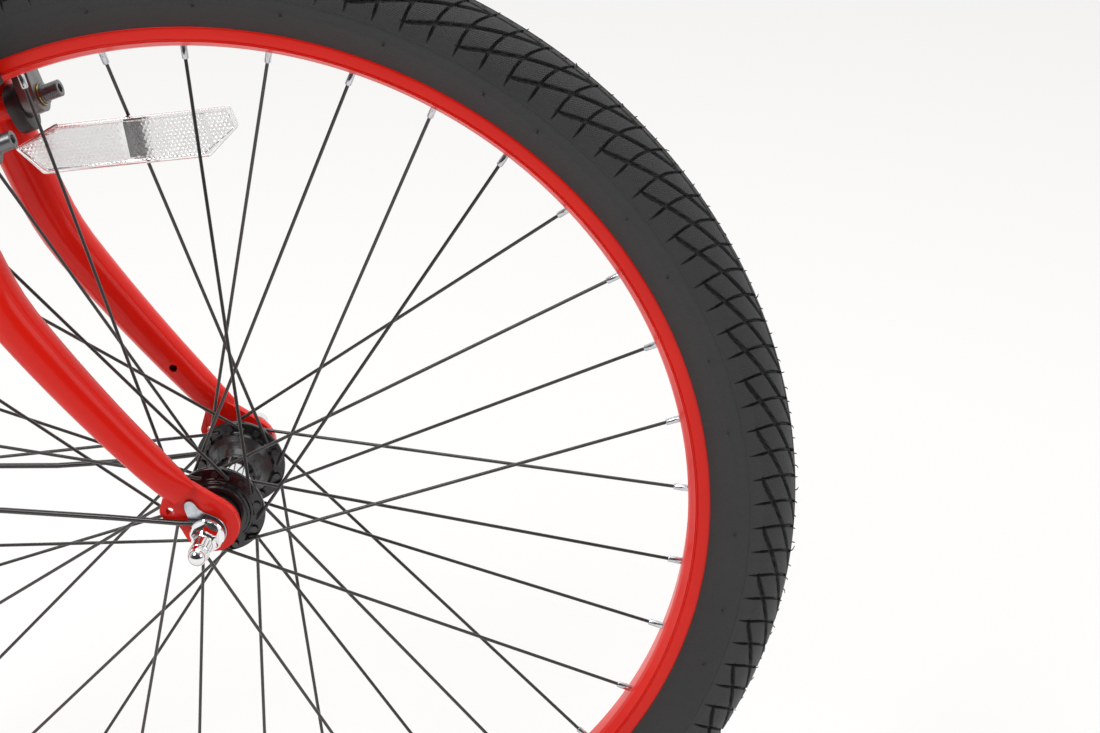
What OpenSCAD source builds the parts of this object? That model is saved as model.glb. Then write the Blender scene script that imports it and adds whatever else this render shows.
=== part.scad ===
// Bicycle front wheel and fork: a 26 inch three-cross laced wheel in a raked unicrown fork, with
// rim brakes, mudguard and stays. Origin: on the steering axis, where the steerer leaves the top of
// its crown race. +X forward, +Y to the rider's left, +Z up. Millimetres.

/* [Steering] */
// Angle of the steering axis above the ground, degrees
head_angle = 68.5; // [64:0.5:75]
// Distance of the wheel axle in front of the steering axis
rake = 50; // [35:1:60]
// Height of the crown race's top above the axle, along the steering axis
crown_h = 398; // [385:1:450]
// Outside diameter of the steerer
steerer_d = 25.4; // [22:0.1:30]
// Bore of the steerer, for a quill stem
steerer_bore_d = 22.2; // [18:0.1:25]
// Length of the steerer above the crown race
steerer_len = 172; // [120:1:260]

/* [Fork blades] */
// Diameter of each blade where it is straight
blade_top_d = 28.6; // [24:0.1:34]
// Diameter of each blade at its lower end
blade_tip_d = 19.5; // [15:0.5:24]
// Half the distance between the blades' centre lines
blade_y = 58.5; // [52:0.5:70]
// Radius of the upper bend that carries the blade forward
blade_bend_r = 150; // [100:5:300]
// Angle of that bend, degrees
blade_bend_a = 14.5; // [8:0.5:22]

/* [Hub] */
// Distance between the inner faces of the two dropouts
hub_old = 100; // [96:1:110]
// Distance between the two flanges' middles
flange_gap = 59.6; // [50:0.2:66]
// Outside diameter of a flange
flange_d = 54.6; // [46:0.2:70]
// Diameter of the circle of spoke holes
spoke_hole_pcd = 47.2; // [40:0.2:60]
// Thickness of a flange
flange_t = 3.2; // [2.6:0.1:4]
// Diameter of the solid axle
axle_d = 7.9; // [7:0.1:10]
// Diameter of a bearing ball
ball_d = 4.76; // [3.5:0.01:6.35]
// Number of balls in each bearing
ball_count = 10; // [8:1:11]

/* [Wheel] */
// Diameter of the tyre's bead seat on the rim
bead_seat_d = 559; // [500:1:622]
// Height of the rim's flange above the bead seat
rim_flange_h = 6; // [5:0.5:7]
// Height of the rim's side wall
rim_h = 13.5; // [12:0.5:20]
// Width of the rim over its side walls
rim_w = 29.8; // [26:0.2:34]
// Width of the inflated tyre
tyre_w = 53; // [44:1:56]
// Radius of the tyre's tread above the bead seat
tyre_h = 54.5; // [48:0.5:56]
// Number of spokes
spoke_count = 36; // [36:36:36]
// Diameter of a spoke
spoke_d = 2; // [1.8:0.1:2.3]

/* [Dropouts and axle nuts] */
// Thickness of a dropout plate
dropout_t = 5.2; // [4:0.1:7]
// Width of the slot that the axle slides into
slot_w = 8.6; // [8.4:0.1:10.4]
// Thickness of the safety tab washer
tab_t = 1.4; // [1:0.1:2]
// Distance across the flats of the axle nut
nut_af = 14.3; // [13:0.1:17]
// Length of the axle nut from its flange to the tip of its cap
nut_len = 31.4; // [26:0.2:36]

/* [Brakes] */
// Distance between the two brake pivots
pivot_gap = 90; // [84:1:96]
// Height of the pivots above the axle, along the steering axis
pivot_h = 248; // [238:1:256]
// Distance from the pivot to the middle of the brake shoe
shoe_rise = 30; // [26:1:34]
// Length of the arm from the pivot to its cable end
arm_len = 107; // [100:1:115]
// Gap between a brake shoe and the rim at rest
shoe_gap = 1.6; // [1:0.1:3]
// Length of a brake shoe
shoe_len = 55; // [50:1:76]

/* [Mudguard] */
// Width of the mudguard
guard_w = 62; // [56:1:70]
// Gap between the tyre and the mudguard
guard_gap = 7; // [6:0.5:10]
// Wall of the mudguard
guard_t = 1.2; // [0.8:0.1:2]
// Diameter of the stay wire
stay_d = 3.4; // [3:0.1:4.5]

/* [Hidden] */
$fn = 48;
cut = 1;                 // how far a cutting solid runs past the face it cuts
fit = 0.05;              // radial running clearance
sides = [-1, 1];         // right, left

// Steering frame
tilt = 90 - head_angle;
axle_at = [rake * cos(tilt) + crown_h * sin(tilt), 0, rake * sin(tilt) - crown_h * cos(tilt)];

// Wheel
seat_r = bead_seat_d / 2;
rim_out_r = seat_r + rim_flange_h;
rim_in_r = rim_out_r - rim_h;
rim_wall = 1.7;
rim_foot_w = rim_w - 2;
well_r = seat_r - 1.1;
tyre_out_r = seat_r + tyre_h;
tyre_mid_r = tyre_out_r - tyre_w / 2;
tyre_side_t = 3.4;
tyre_crown_t = 6;
bead_w = 3.8;
channel_half = rim_w / 2 - 2.2;
tape_t = 0.8;
tube_r = tyre_w / 2 - tyre_side_t - 1.5;
tube_mid_r = tyre_mid_r - 0.5;
tube_foot_r = well_r + tape_t + 0.1;
first_spoke_a = 112;
spoke_step = 360 / spoke_count;
cross_a = 60;
spoke_r = spoke_d / 2;
hole_r = spoke_hole_pcd / 2;
flange_y = flange_gap / 2;
outer_lay = flange_t / 2 + spoke_r + 1.8;
inner_lay = -(flange_t / 2 + spoke_r + 0.1);
nipple_y = 1;
nipple_r = 1.95;
nipple_len = 11;
valve_a = -83;
valve_len = 42;

// Hub
axle_r = axle_d / 2;
barrel_r = 11.5;
shoulder_r = 17.6;
shoulder_y = 36.5;
cup_r = 14;
cup_y = 31;
ball_ring_r = 9.6;
ball_gap = 0.12;
ball_y = cup_y + 3.4;
cone_r = 7.2;
locknut_t = 5;
spacer_t = 1.6;
old_y = hub_old / 2;

// Axle nut stack, measured outwards from the middle of the hub
tab_y = old_y + dropout_t;
loop_y = tab_y + tab_t;
nut_y = loop_y + stay_d;
nut_flange_t = 2.2;
nut_flange_r = 10.1;
nut_hex_len = 11;
cap_r = 5.5;
axle_half = nut_y + nut_len - cap_r - 6;

// Fork
race_h = 5;
weld_low = 26;
blade_wall_t = 1.6;
bend_start = 187;
boss_r = 7;
pivot_r = 4;
pivot_y = pivot_gap / 2;
boss_front = 22;
arm_back = 23.5;
arm_t = 10;
arm_front = arm_back + arm_t;
bolt_front = arm_front + 5.2;

// Brake shoe
shoe_t = 10;
shoe_h = 10.5;
shoe_front = 15;
shoe_f = arm_back + arm_t / 2;
shoe_h_t = pivot_h + shoe_rise;
shoe_y = rim_w / 2 + shoe_gap;
link_t = pivot_h + arm_len;

// Mudguard
guard_r = tyre_out_r + guard_gap;
guard_from = 102;
guard_to = 206;

// ---- placing ----
module at_axle() translate(axle_at) children();
module on_fork() rotate([0, -tilt, 0]) translate([0, 0, -crown_h]) children();
module along_y() rotate([-90, 0, 0]) children();
module spun(r, a) rotate([0, -a, 0]) translate([r, 0, 0]) children();
module mirror_side(side) mirror([0, side < 0 ? 1 : 0, 0]) children();
module ring(r_out, r_in, h) difference() {
    cylinder(r = r_out, h = h);
    translate([0, 0, -cut]) cylinder(r = r_in, h = h + 2 * cut);
}
// a ring round the wheel axle from y0 to y1
module y_ring(r_out, r_in, y0, y1) along_y() translate([0, 0, y0]) ring(r_out, r_in, y1 - y0);
module y_rod(r, y0, y1) along_y() translate([0, 0, y0]) cylinder(r = r, h = y1 - y0);
// a round rod between two points
module rod(a, b, r) {
    d = b - a;
    flat = norm([d.x, d.y]);
    translate(a) rotate([0, atan2(flat, d.z), atan2(d.y, d.x)]) cylinder(r = r, h = norm(d));
}
module wheel_turned() rotate([90, 0, 0]) rotate_extrude($fn = 180) children();
function polar(r, a, y) = [r * cos(a), y, r * sin(a)];

// ---- swept tubes ----
function unit(v) = v / norm(v);
function tangents(p) = [for (i = [0 : len(p) - 1])
    unit(p[min(i + 1, len(p) - 1)] - p[max(i - 1, 0)])];
// a ring of points round a path's point c, where its tangent is t; wide is the half size across
// both the path and the axis ref, and deep is the other one
function sweep_ring(c, t, wide, deep, n, ref) =
    let (e1 = unit(cross(t, ref)), e2 = cross(t, e1))
    [for (k = [0 : n - 1]) c + e1 * wide * cos(360 * k / n) + e2 * deep * sin(360 * k / n)];
module sweep(path, wides, deeps, n, ref) {
    t = tangents(path);
    rings = [for (i = [0 : len(path) - 1]) sweep_ring(path[i], t[i], wides[i], deeps[i], n, ref)];
    m = len(path);
    polyhedron(points = [for (r = rings) each r],
        faces = concat([[for (k = [0 : n - 1]) k]],
            [for (i = [0 : m - 2]) for (k = [0 : n - 1]) let (j = (k + 1) % n)
                each [[i * n + k, (i + 1) * n + j, i * n + j], [i * n + k, (i + 1) * n + k, (i + 1) * n + j]]],
            [[for (k = [n - 1 : -1 : 0]) (m - 1) * n + k]]));
}
// a bent wire whose bends lie mostly in upright planes along the part
module wire(path, r) sweep(path, [for (p = path) r], [for (p = path) r], 12, [0, 1, 0]);
// points round an eye in a wire, about its centre
function eye_arc(c, r, from, to, steps) = [for (i = [0 : steps])
    let (a = from + (to - from) * i / steps) c + [r * cos(a), 0, r * sin(a)]];

// ---- steerer and blades, in the steering frame: x forward, y left, z up the steerer ----
crown_bend_t = crown_h - race_h - 1 - blade_top_d / 2 - blade_y;
race_seat_r = steerer_d / 2 + 0.5;
race_gap = 0.2;
thread_len = 38;
crown_bolt_r = 3;
crown_bolt_t = crown_bend_t + blade_y;
// the steerer ends above the bolt that holds the mudguard
steerer_foot = crown_bolt_t + crown_bolt_r + 2.3;
module crown_hole() f_rod(0, crown_bolt_t, crown_bolt_r + 0.2, -blade_top_d, blade_top_d);
module steerer_bar(r, from, to) translate([0, 0, from]) cylinder(r = r, h = to - from);
module steerer_tube() color("#b9241c") on_fork() difference() {
    union() {
        steerer_bar(steerer_d / 2, steerer_foot, crown_h + steerer_len);
        steerer_bar(race_seat_r, steerer_foot, crown_h - race_gap);
    }
    steerer_bar(steerer_bore_d / 2, steerer_foot - cut, crown_h + steerer_len + cut);
    // keyway that stops the headset's lock washer from turning
    translate([-steerer_d / 2 - cut, -1.5, crown_h + steerer_len - thread_len])
        cube([1 + cut, 3, thread_len + cut]);
}
module crown_race() color("silver") on_fork() translate([0, 0, crown_h - race_h]) difference() {
    union() {
        cylinder(r = steerer_d / 2 + 4.2, h = race_h - 2.4);
        translate([0, 0, race_h - 2.4]) cylinder(r1 = steerer_d / 2 + 2.8, r2 = steerer_d / 2 + 1, h = 2.4 - race_gap);
    }
    translate([0, 0, -cut]) cylinder(r = race_seat_r, h = race_h + 2 * cut);
}

// The blade's centre line from the dropout up to the middle of the crown
low_bend_r = 1000;
bend_end = bend_start - blade_bend_r * sin(blade_bend_a);
bend_shift = blade_bend_r * (1 - cos(blade_bend_a));
tip_y = old_y + dropout_t;
function low_angle(t) = asin(sin(blade_bend_a) + (bend_end - t) / low_bend_r);
function blade_f(t) = t > bend_start ? 0
    : t > bend_end ? blade_bend_r - sqrt(pow(blade_bend_r, 2) - pow(bend_start - t, 2))
    : bend_shift + low_bend_r * (cos(blade_bend_a) - cos(low_angle(t)));
function blade_lat(t) = t > bend_start ? blade_y
    : blade_y - (blade_y - tip_y) * pow((bend_start - t) / (bend_start - weld_low), 2);
function blade_r(t) = t > bend_start ? blade_top_d / 2
    : blade_tip_d / 2 + (blade_top_d - blade_tip_d) / 2 * (t - weld_low) / (bend_start - weld_low);
// the last stretch is pressed flat round the dropout plate
flat_from = weld_low + 26;
flat_half = dropout_t / 2 + 2.6;
function blade_wide(t) = t > flat_from ? blade_r(t)
    : flat_half + (blade_r(t) - flat_half) * (1 - pow((flat_from - t) / (flat_from - weld_low), 2));
low_steps = [for (i = [0 : 14]) weld_low + (bend_start - weld_low) * i / 14];
crown_steps = [for (i = [0 : 12]) 7.5 * i];
blade_path = concat([for (t = low_steps) [blade_f(t), blade_lat(t), t]],
    [for (a = crown_steps) [0, blade_y * cos(a), crown_bend_t + blade_y * sin(a)]]);
blade_wides = concat([for (t = low_steps) blade_wide(t)], [for (a = crown_steps) blade_top_d / 2]);
blade_deeps = concat([for (t = low_steps) blade_r(t)], [for (a = crown_steps) blade_top_d / 2]);
module blade_solid() sweep(blade_path, blade_wides, blade_deeps, 24, [1, 0, 0]);
// the tube is hollow from above its flattened end to the crown
bore_from = 3;
bore_last = len(blade_path) - 1;
module blade_bore() sweep([for (i = [bore_from : bore_last]) blade_path[i]],
    [for (i = [bore_from : bore_last]) blade_wides[i] - blade_wall_t],
    [for (i = [bore_from : bore_last]) blade_deeps[i] - blade_wall_t], 24, [1, 0, 0]);
drain_r = 2.5;
drain_t = 65;
module blade(side) color("#e0261a") on_fork() mirror_side(side) difference() {
    blade_solid();
    blade_bore();
    lat_rod(blade_f(drain_t), drain_t, drain_r, 0, blade_lat(drain_t));
    steerer_bar(race_seat_r, steerer_foot - cut, crown_h);
    crown_hole();
    translate([0, 0, -crown_h]) mirror([0, 1, 0])
        translate([-30, 0, 0]) cube([60, 30, 3 * crown_h]);
    translate([0, 0, crown_h]) rotate([0, tilt, 0]) translate(axle_at) dropout_plate();
}
module right_blade() blade(-1);
module left_blade() blade(1);

// Dropout, about the axle: x forward, z up
slot_dir = 238;
eye_back = [-22.2, 10.7];
eye_front = [-10.8, 16];
eye_r = 2.6;
eye_rim_r = 6.2;
lobe_at = [0.5, 3];
lobe_r = 16.8;
neck_at = [-15.5, 21.5];
neck_r = 9.5;
tongue_at = [-22, 30];
tongue_r = 5.5;
module dropout_face() {
    hull() {
        translate(lobe_at) circle(r = lobe_r, $fn = 48);
        translate(neck_at) circle(r = neck_r, $fn = 32);
    }
    hull() {
        translate(neck_at) circle(r = neck_r, $fn = 32);
        translate(eye_back) circle(r = eye_rim_r, $fn = 32);
    }
    hull() {
        translate(neck_at) circle(r = neck_r - 2, $fn = 32);
        translate(tongue_at) circle(r = tongue_r, $fn = 32);
    }
}
module dropout_plate() translate([0, old_y + dropout_t, 0]) rotate([90, 0, 0])
    linear_extrude(dropout_t) dropout_face();
module dropout(side) color("#e0261a") at_axle() mirror_side(side) difference() {
    dropout_plate();
    y_rod(slot_w / 2, old_y - cut, old_y + dropout_t + cut);
    rotate([0, -slot_dir, 0]) translate([0, old_y - cut, -slot_w / 2])
        cube([60, dropout_t + 2 * cut, slot_w]);
    for (e = [eye_back, eye_front]) translate([e.x, 0, e.y])
        y_rod(eye_r, old_y - cut, old_y + dropout_t + cut);
}
module right_dropout() dropout(-1);
module left_dropout() dropout(1);

// ---- axle, bearings and nuts, about the axle ----
module axle() color("silver") at_axle() y_rod(axle_r, -axle_half, axle_half);
// cone: a threaded sleeve with a curved seat for the balls
cone_from = ball_y - 3.2;
cone_to = old_y - locknut_t - spacer_t;
seat_curve_r = ball_d / 2 + ball_gap;
module each_side() for (s = sides) mirror_side(s) children();
module ball_track() along_y() translate([0, 0, ball_y])
    rotate_extrude() translate([ball_ring_r, 0]) circle(r = seat_curve_r, $fn = 32);
module bearing_cones() color("silver") at_axle() each_side() difference() {
    union() {
        y_ring(cone_r - 1.2, axle_r, cone_from, ball_y + 1);
        y_ring(cone_r + 1.2, axle_r, ball_y + 0.6, cone_to);
    }
    ball_track();
}
module axle_spacers() color("silver") at_axle() each_side() y_ring(8.2, axle_r, cone_to, cone_to + spacer_t);
module hex_bar(af, y0, y1) along_y() translate([0, 0, y0])
    cylinder(r = af / 2 / cos(30), h = y1 - y0, $fn = 6);
module axle_locknuts() color("silver") at_axle() each_side() difference() {
    hex_bar(15, cone_to + spacer_t, old_y);
    y_rod(axle_r, 0, hub_old);
}
module bearing_balls() color("silver") at_axle() each_side() for (i = [0 : ball_count - 1])
    rotate([0, -i * 360 / ball_count, 0]) translate([ball_ring_r, ball_y, 0]) sphere(r = ball_d / 2, $fn = 24);
retainer_t = 0.8;
module ball_retainers() color("goldenrod") at_axle() each_side() difference() {
    y_ring(ball_ring_r + 2.25, ball_ring_r - 2.35, ball_y - 2.2, ball_y - 2.2 + retainer_t);
    for (i = [0 : ball_count - 1]) rotate([0, -i * 360 / ball_count, 0])
        translate([ball_ring_r, ball_y, 0]) sphere(r = ball_d / 2 + fit, $fn = 24);
}

// safety washer whose bent tab sits in the dropout's front eyelet
tab_washer_r = 10.2;
tab_w = 5;
eye_dist = norm(eye_front);
eye_a = atan2(eye_front.y, eye_front.x);
module tab_washer(side) color("#c9ccd0") at_axle() mirror_side(side) difference() {
    union() {
        y_rod(tab_washer_r, tab_y, loop_y);
        rotate([0, -eye_a, 0]) translate([0, tab_y, -tab_w / 2]) cube([eye_dist + 1.6, tab_t, tab_w]);
        rotate([0, -eye_a, 0]) translate([eye_dist + 0.2, tab_y - 4, -1.9]) cube([1.4, 4 + tab_t, 3.8]);
    }
    y_rod(axle_r + fit, tab_y - cut, loop_y + cut);
}
module right_tab_washer() tab_washer(-1);
module left_tab_washer() tab_washer(1);

module axle_nut(side) color("silver") at_axle() mirror_side(side) difference() {
    union() {
        y_rod(nut_flange_r, nut_y, nut_y + nut_flange_t);
        hex_bar(nut_af, nut_y + nut_flange_t, nut_y + nut_hex_len);
        y_rod(cap_r, nut_y + nut_hex_len, nut_y + nut_len - cap_r);
        translate([0, nut_y + nut_len - cap_r, 0]) sphere(r = cap_r);
    }
    y_rod(axle_r, nut_y - cut, axle_half + 0.6);
}
module right_axle_nut() axle_nut(-1);
module left_axle_nut() axle_nut(1);

// ---- hub ----
flange_in_y = flange_y - flange_t / 2;
flange_out_y = flange_y + flange_t / 2;
function spoke_a(k) = first_spoke_a - spoke_step * k;
// angle of the hub hole that spoke k is laced to; even spokes go to the right flange
function lean(k) = (floor(k / 2) % 2 == 0 ? 1 : -1) * (k % 2 == 0 ? cross_a : -cross_a);
function spoke_side(k) = k % 2 == 0 ? -1 : 1;
function is_outer(k) = spoke_side(k) * lean(k) > 0;
cap_in_r = cone_r + 1.2 + 0.5;
module hub_profile() polygon([
    [barrel_r, 0], [barrel_r, 15], [barrel_r + 1.5, 21], [shoulder_r, flange_in_y - 3],
    [flange_d / 2 - 1, flange_in_y], [flange_d / 2, flange_in_y + 1], [flange_d / 2, flange_out_y - 1],
    [flange_d / 2 - 1, flange_out_y], [shoulder_r + 1.5, flange_out_y + 0.6],
    [shoulder_r, flange_out_y + 2], [shoulder_r, shoulder_y - 1.2], [shoulder_r - 1.2, shoulder_y],
    [cup_r, shoulder_y], [cup_r, cup_y - 3], [axle_r + 2.4, cup_y - 3], [axle_r + 2.4, 0]]);
module hub_shell() color("#17181a") at_axle() difference() {
    each_side() along_y() rotate_extrude($fn = 96) hub_profile();
    for (k = [0 : spoke_count - 1]) translate(polar(hole_r, spoke_a(k) + lean(k), 0)) mirror_side(spoke_side(k))
        y_rod(spoke_r + 0.3, flange_in_y - 4, flange_out_y + 4);
}
module bearing_cups() color("silver") at_axle() each_side() difference() {
    y_ring(cup_r, axle_r + 2.4, cup_y - 3, ball_y + 1.5);
    y_rod(cone_r + 1.6, cup_y - 1.6, ball_y + 3);
    y_ring(ball_ring_r + 2.4, 0.1, ball_y - 2.4, ball_y + 3);
    ball_track();
}
module dust_caps() color("#202124") at_axle() each_side() difference() {
    y_rod(cup_r, ball_y + 1.5, shoulder_y + 3.5);
    y_rod(cup_r - 1.2, ball_y + 1.4, shoulder_y + 2.3);
    y_rod(cap_in_r, ball_y, shoulder_y + 4);
}

// ---- rim, tyre and tube, about the axle; profiles are in (radius, width) ----
lip = 1.2;
module rim_face() difference() {
    polygon([[rim_in_r, -rim_foot_w / 2 + 3], [rim_in_r + 1.2, -rim_foot_w / 2], [rim_in_r + 5.6, -rim_w / 2 + 0.4],
        [rim_in_r + 6, -rim_w / 2], [rim_out_r - lip, -rim_w / 2], [rim_out_r, -rim_w / 2 + lip],
        [rim_out_r, rim_w / 2 - lip], [rim_out_r - lip, rim_w / 2], [rim_in_r + 6, rim_w / 2],
        [rim_in_r + 5.6, rim_w / 2 - 0.4], [rim_in_r + 1.2, rim_foot_w / 2], [rim_in_r, rim_foot_w / 2 - 3]]);
    polygon([[seat_r, -channel_half], [rim_out_r - 1.8, -channel_half], [rim_out_r - 1.3, -channel_half + 0.6],
        [rim_out_r + cut, -channel_half + 0.6], [rim_out_r + cut, channel_half - 0.6],
        [rim_out_r - 1.3, channel_half - 0.6], [rim_out_r - 1.8, channel_half], [seat_r, channel_half],
        [seat_r - 0.4, channel_half - 4], [well_r, channel_half - 5], [well_r, -channel_half + 5],
        [seat_r - 0.4, -channel_half + 4]]);
    translate([rim_in_r + rim_wall, -channel_half + 1]) square([3.4, 2 * channel_half - 2]);
}
module rim() color("#e0261a") at_axle() difference() {
    wheel_turned() rim_face();
    for (k = [0 : spoke_count - 1]) spun(rim_in_r, spoke_a(k)) {
        translate([0, nipple_y * spoke_side(k), 0]) rotate([0, 90, 0])
            translate([0, 0, -cut]) cylinder(r = nipple_r + 0.6, h = rim_wall + 2 * cut);
        translate([rim_wall + 2, nipple_y * spoke_side(k), 0]) rotate([0, 90, 0])
            cylinder(r = 4, h = 6);
    }
    spun(rim_in_r - cut, valve_a) rotate([0, 90, 0]) cylinder(r = valve_r + 0.15, h = rim_h);
}
module rim_tape() color("#3a3a3a") at_axle() difference() {
    wheel_turned() translate([well_r, -channel_half + 5.4]) square([tape_t, 2 * channel_half - 10.8]);
    spun(well_r - cut, valve_a) rotate([0, 90, 0]) cylinder(r = valve_r + 0.1, h = 4);
}
neck_half = 6.4;
module tube_face(inset) {
    translate([tube_mid_r, 0]) circle(r = tube_r - inset);
    polygon([[tube_foot_r + inset, -neck_half + inset], [tube_mid_r - tube_r * 0.85, -tube_r * 0.42 + inset],
        [tube_mid_r - tube_r * 0.85, tube_r * 0.42 - inset], [tube_foot_r + inset, neck_half - inset]]);
}
module inner_tube() color("#222222") at_axle() wheel_turned() difference() {
    tube_face(0);
    tube_face(1);
}
bead_half = channel_half - 0.8;
module tyre_face() difference() {
    union() {
        translate([tyre_mid_r, 0]) circle(r = tyre_w / 2, $fn = 96);
        polygon([[seat_r + 0.2, -bead_half], [seat_r + 4.6, -bead_half],
            [rim_out_r + 1.6, -bead_half - 1.6], [tyre_mid_r - 16, -tyre_w / 2 + 5.4], [tyre_mid_r - 16, tyre_w / 2 - 5.4],
            [rim_out_r + 1.6, bead_half + 1.6], [seat_r + 4.6, bead_half], [seat_r + 0.2, bead_half]]);
    }
    translate([tyre_mid_r - (tyre_crown_t - tyre_side_t) / 2, 0])
        circle(r = tyre_w / 2 - tyre_side_t, $fn = 96);
    polygon([[seat_r - cut, -bead_half + bead_w], [rim_out_r + 1, -bead_half + bead_w - 1.4],
        [tyre_mid_r - 15, -tyre_w / 2 + 8.2], [tyre_mid_r - 15, tyre_w / 2 - 8.2],
        [rim_out_r + 1, bead_half - bead_w + 1.4], [seat_r - cut, bead_half - bead_w]]);
}
module tyre() color("#3c3d3d") at_axle() wheel_turned() tyre_face();
valve_r = 4;
module valve_stem() color("#303030") at_axle() spun(tube_foot_r + 0.2, valve_a) rotate([0, -90, 0]) {
    cylinder(r = valve_r, h = valve_len - 9);
    cylinder(r = 2.7, h = valve_len - 1.5);
}
module valve_cap() color("#151515") at_axle() spun(tube_foot_r + 0.2, valve_a) rotate([0, -90, 0]) difference() {
    translate([0, 0, valve_len - 8.6]) cylinder(r = 3.9, h = 10);
    translate([0, 0, valve_len - 8.6 - cut]) cylinder(r = 2.75, h = 8.2 + cut);
}

// ---- spokes and nipples, about the axle ----
function lay_y(k) = spoke_side(k) * (flange_y + (is_outer(k) ? outer_lay : inner_lay));
function hub_end(k) = polar(hole_r, spoke_a(k) + lean(k), lay_y(k));
function rim_end(k) = polar(rim_in_r + rim_wall + 1.2, spoke_a(k), spoke_side(k) * nipple_y);
head_r = 1.95;
head_t = 1.4;
module spoke(k) {
    s = spoke_side(k);
    head_y = s * (flange_y - (is_outer(k) ? 1 : -1) * (flange_t / 2 + 0.1));
    away = s * (is_outer(k) ? -1 : 1);
    rod(hub_end(k), rim_end(k), spoke_r);
    translate(hub_end(k)) sphere(r = spoke_r + 0.08, $fn = 24);
    rod(hub_end(k), polar(hole_r, spoke_a(k) + lean(k), head_y), spoke_r);
    rod(polar(hole_r, spoke_a(k) + lean(k), head_y), polar(hole_r, spoke_a(k) + lean(k), head_y + away * head_t), head_r);
}
module spokes(side, outer) color("#1b1c1d") at_axle() for (k = [0 : spoke_count - 1])
    if (spoke_side(k) == side && is_outer(k) == outer) spoke(k);
module right_outer_spokes() spokes(-1, true);
module right_inner_spokes() spokes(-1, false);
module left_outer_spokes() spokes(1, true);
module left_inner_spokes() spokes(1, false);
module nipples() color("silver") at_axle() for (k = [0 : spoke_count - 1]) difference() {
    d = unit(hub_end(k) - rim_end(k));
    union() {
        rod(rim_end(k), rim_end(k) + d * nipple_len, nipple_r);
        rod(rim_end(k) - d * 0.9, rim_end(k) + d * 0.5, nipple_r + 1.1);
    }
    rod(rim_end(k) - d * 3, rim_end(k) + d * (nipple_len + 2), spoke_r + 0.02);
}

// ---- wheel reflector, clipped to one spoke of the left flange ----
reflector_spoke = 1;
reflector_at = 0.785;        // share of the spoke from the hub to its nipple
reflector_tilt = 8;
reflector_len = 129;
reflector_h = 28;
reflector_slant = 13;
reflector_mid = hub_end(reflector_spoke) * (1 - reflector_at) + rim_end(reflector_spoke) * reflector_at;
lens_t = 3;
back_t = 1.6;
lens_front = -2.4;
module reflector_face(inset) {
    w = reflector_len / 2 - inset;
    h = reflector_h / 2 - inset;
    polygon([[-w, h * 0.2], [-w + reflector_slant, -h], [w - reflector_slant - 6, -h], [w, h * 0.1],
        [w - 2, h], [-w + reflector_slant * 2, h]]);
}
module on_reflector() at_axle() translate([reflector_mid.x - 4, 0, reflector_mid.z]) rotate([0, -reflector_tilt, 0])
    children();
module reflector_slab(inset, y0, t) on_reflector() translate([0, y0 + t, 0]) rotate([90, 0, 0])
    linear_extrude(t) reflector_face(inset);
module reflector_lens() color("#e8e8e8") reflector_slab(0, lens_front, lens_t);
module reflector_back() color("#dddddd") reflector_slab(0.6, lens_front + lens_t, back_t);
clip_w = 11;
module reflector_clip() color("#dddddd") difference() {
    on_reflector() translate([4 - clip_w / 2, lens_front + lens_t + back_t, -clip_w])
        cube([clip_w, reflector_mid.y - lens_front - lens_t - back_t + 2.6, 2 * clip_w]);
    at_axle() rod(hub_end(reflector_spoke), rim_end(reflector_spoke), spoke_r + 0.02);
}

// ---- rim brakes, in the steering frame; each is drawn for the left side and mirrored ----
module on_brake(side) on_fork() mirror_side(side) children();
module f_rod(y, t, r, f0, f1) translate([f0, y, t]) rotate([0, 90, 0]) cylinder(r = r, h = f1 - f0);
module f_ring(y, t, r_out, r_in, f0, f1) translate([f0, y, t]) rotate([0, 90, 0]) ring(r_out, r_in, f1 - f0);
module f_plate(f0, f1) translate([f0, 0, 0]) rotate([90, 0, 90]) linear_extrude(f1 - f0) children();
module lat_rod(f, t, r, y0, y1) translate([f, 0, t]) y_rod(r, y0, y1);
module lat_ring(f, t, r_out, r_in, y0, y1) translate([f, 0, t]) y_ring(r_out, r_in, y0, y1);
module brake_boss(side) color("#e0261a") on_brake(side) difference() {
    union() {
        f_rod(pivot_y, pivot_h, boss_r, 0, cover_back + 1.6);
        f_rod(pivot_y, pivot_h, pivot_r, cover_back + 1, arm_front);
    }
    f_rod(pivot_y, pivot_h, 3, boss_front, arm_front + cut);
    blade_solid();
}
module right_brake_boss() brake_boss(-1);
module left_brake_boss() brake_boss(1);
bolt_head_r = 5;
module pivot_bolts() color("#8d9093") on_fork() each_side() difference() {
    union() {
        f_rod(pivot_y, pivot_h, 6.4, arm_front + 1.2, arm_front + 2.8);
        f_rod(pivot_y, pivot_h, bolt_head_r, arm_front + 2.6, bolt_front + 7);
        f_rod(pivot_y, pivot_h, 3 - fit, boss_front + 1, arm_front + 1.6);
    }
    translate([bolt_front + 3.5, pivot_y, pivot_h]) rotate([0, 90, 0]) cylinder(r = 2.9, h = 5, $fn = 6);
}
module pivot_washers() color("goldenrod") on_fork() each_side()
    f_ring(pivot_y, pivot_h, 6.6, 3, arm_front + 0.2, arm_front + 1.2);

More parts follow.
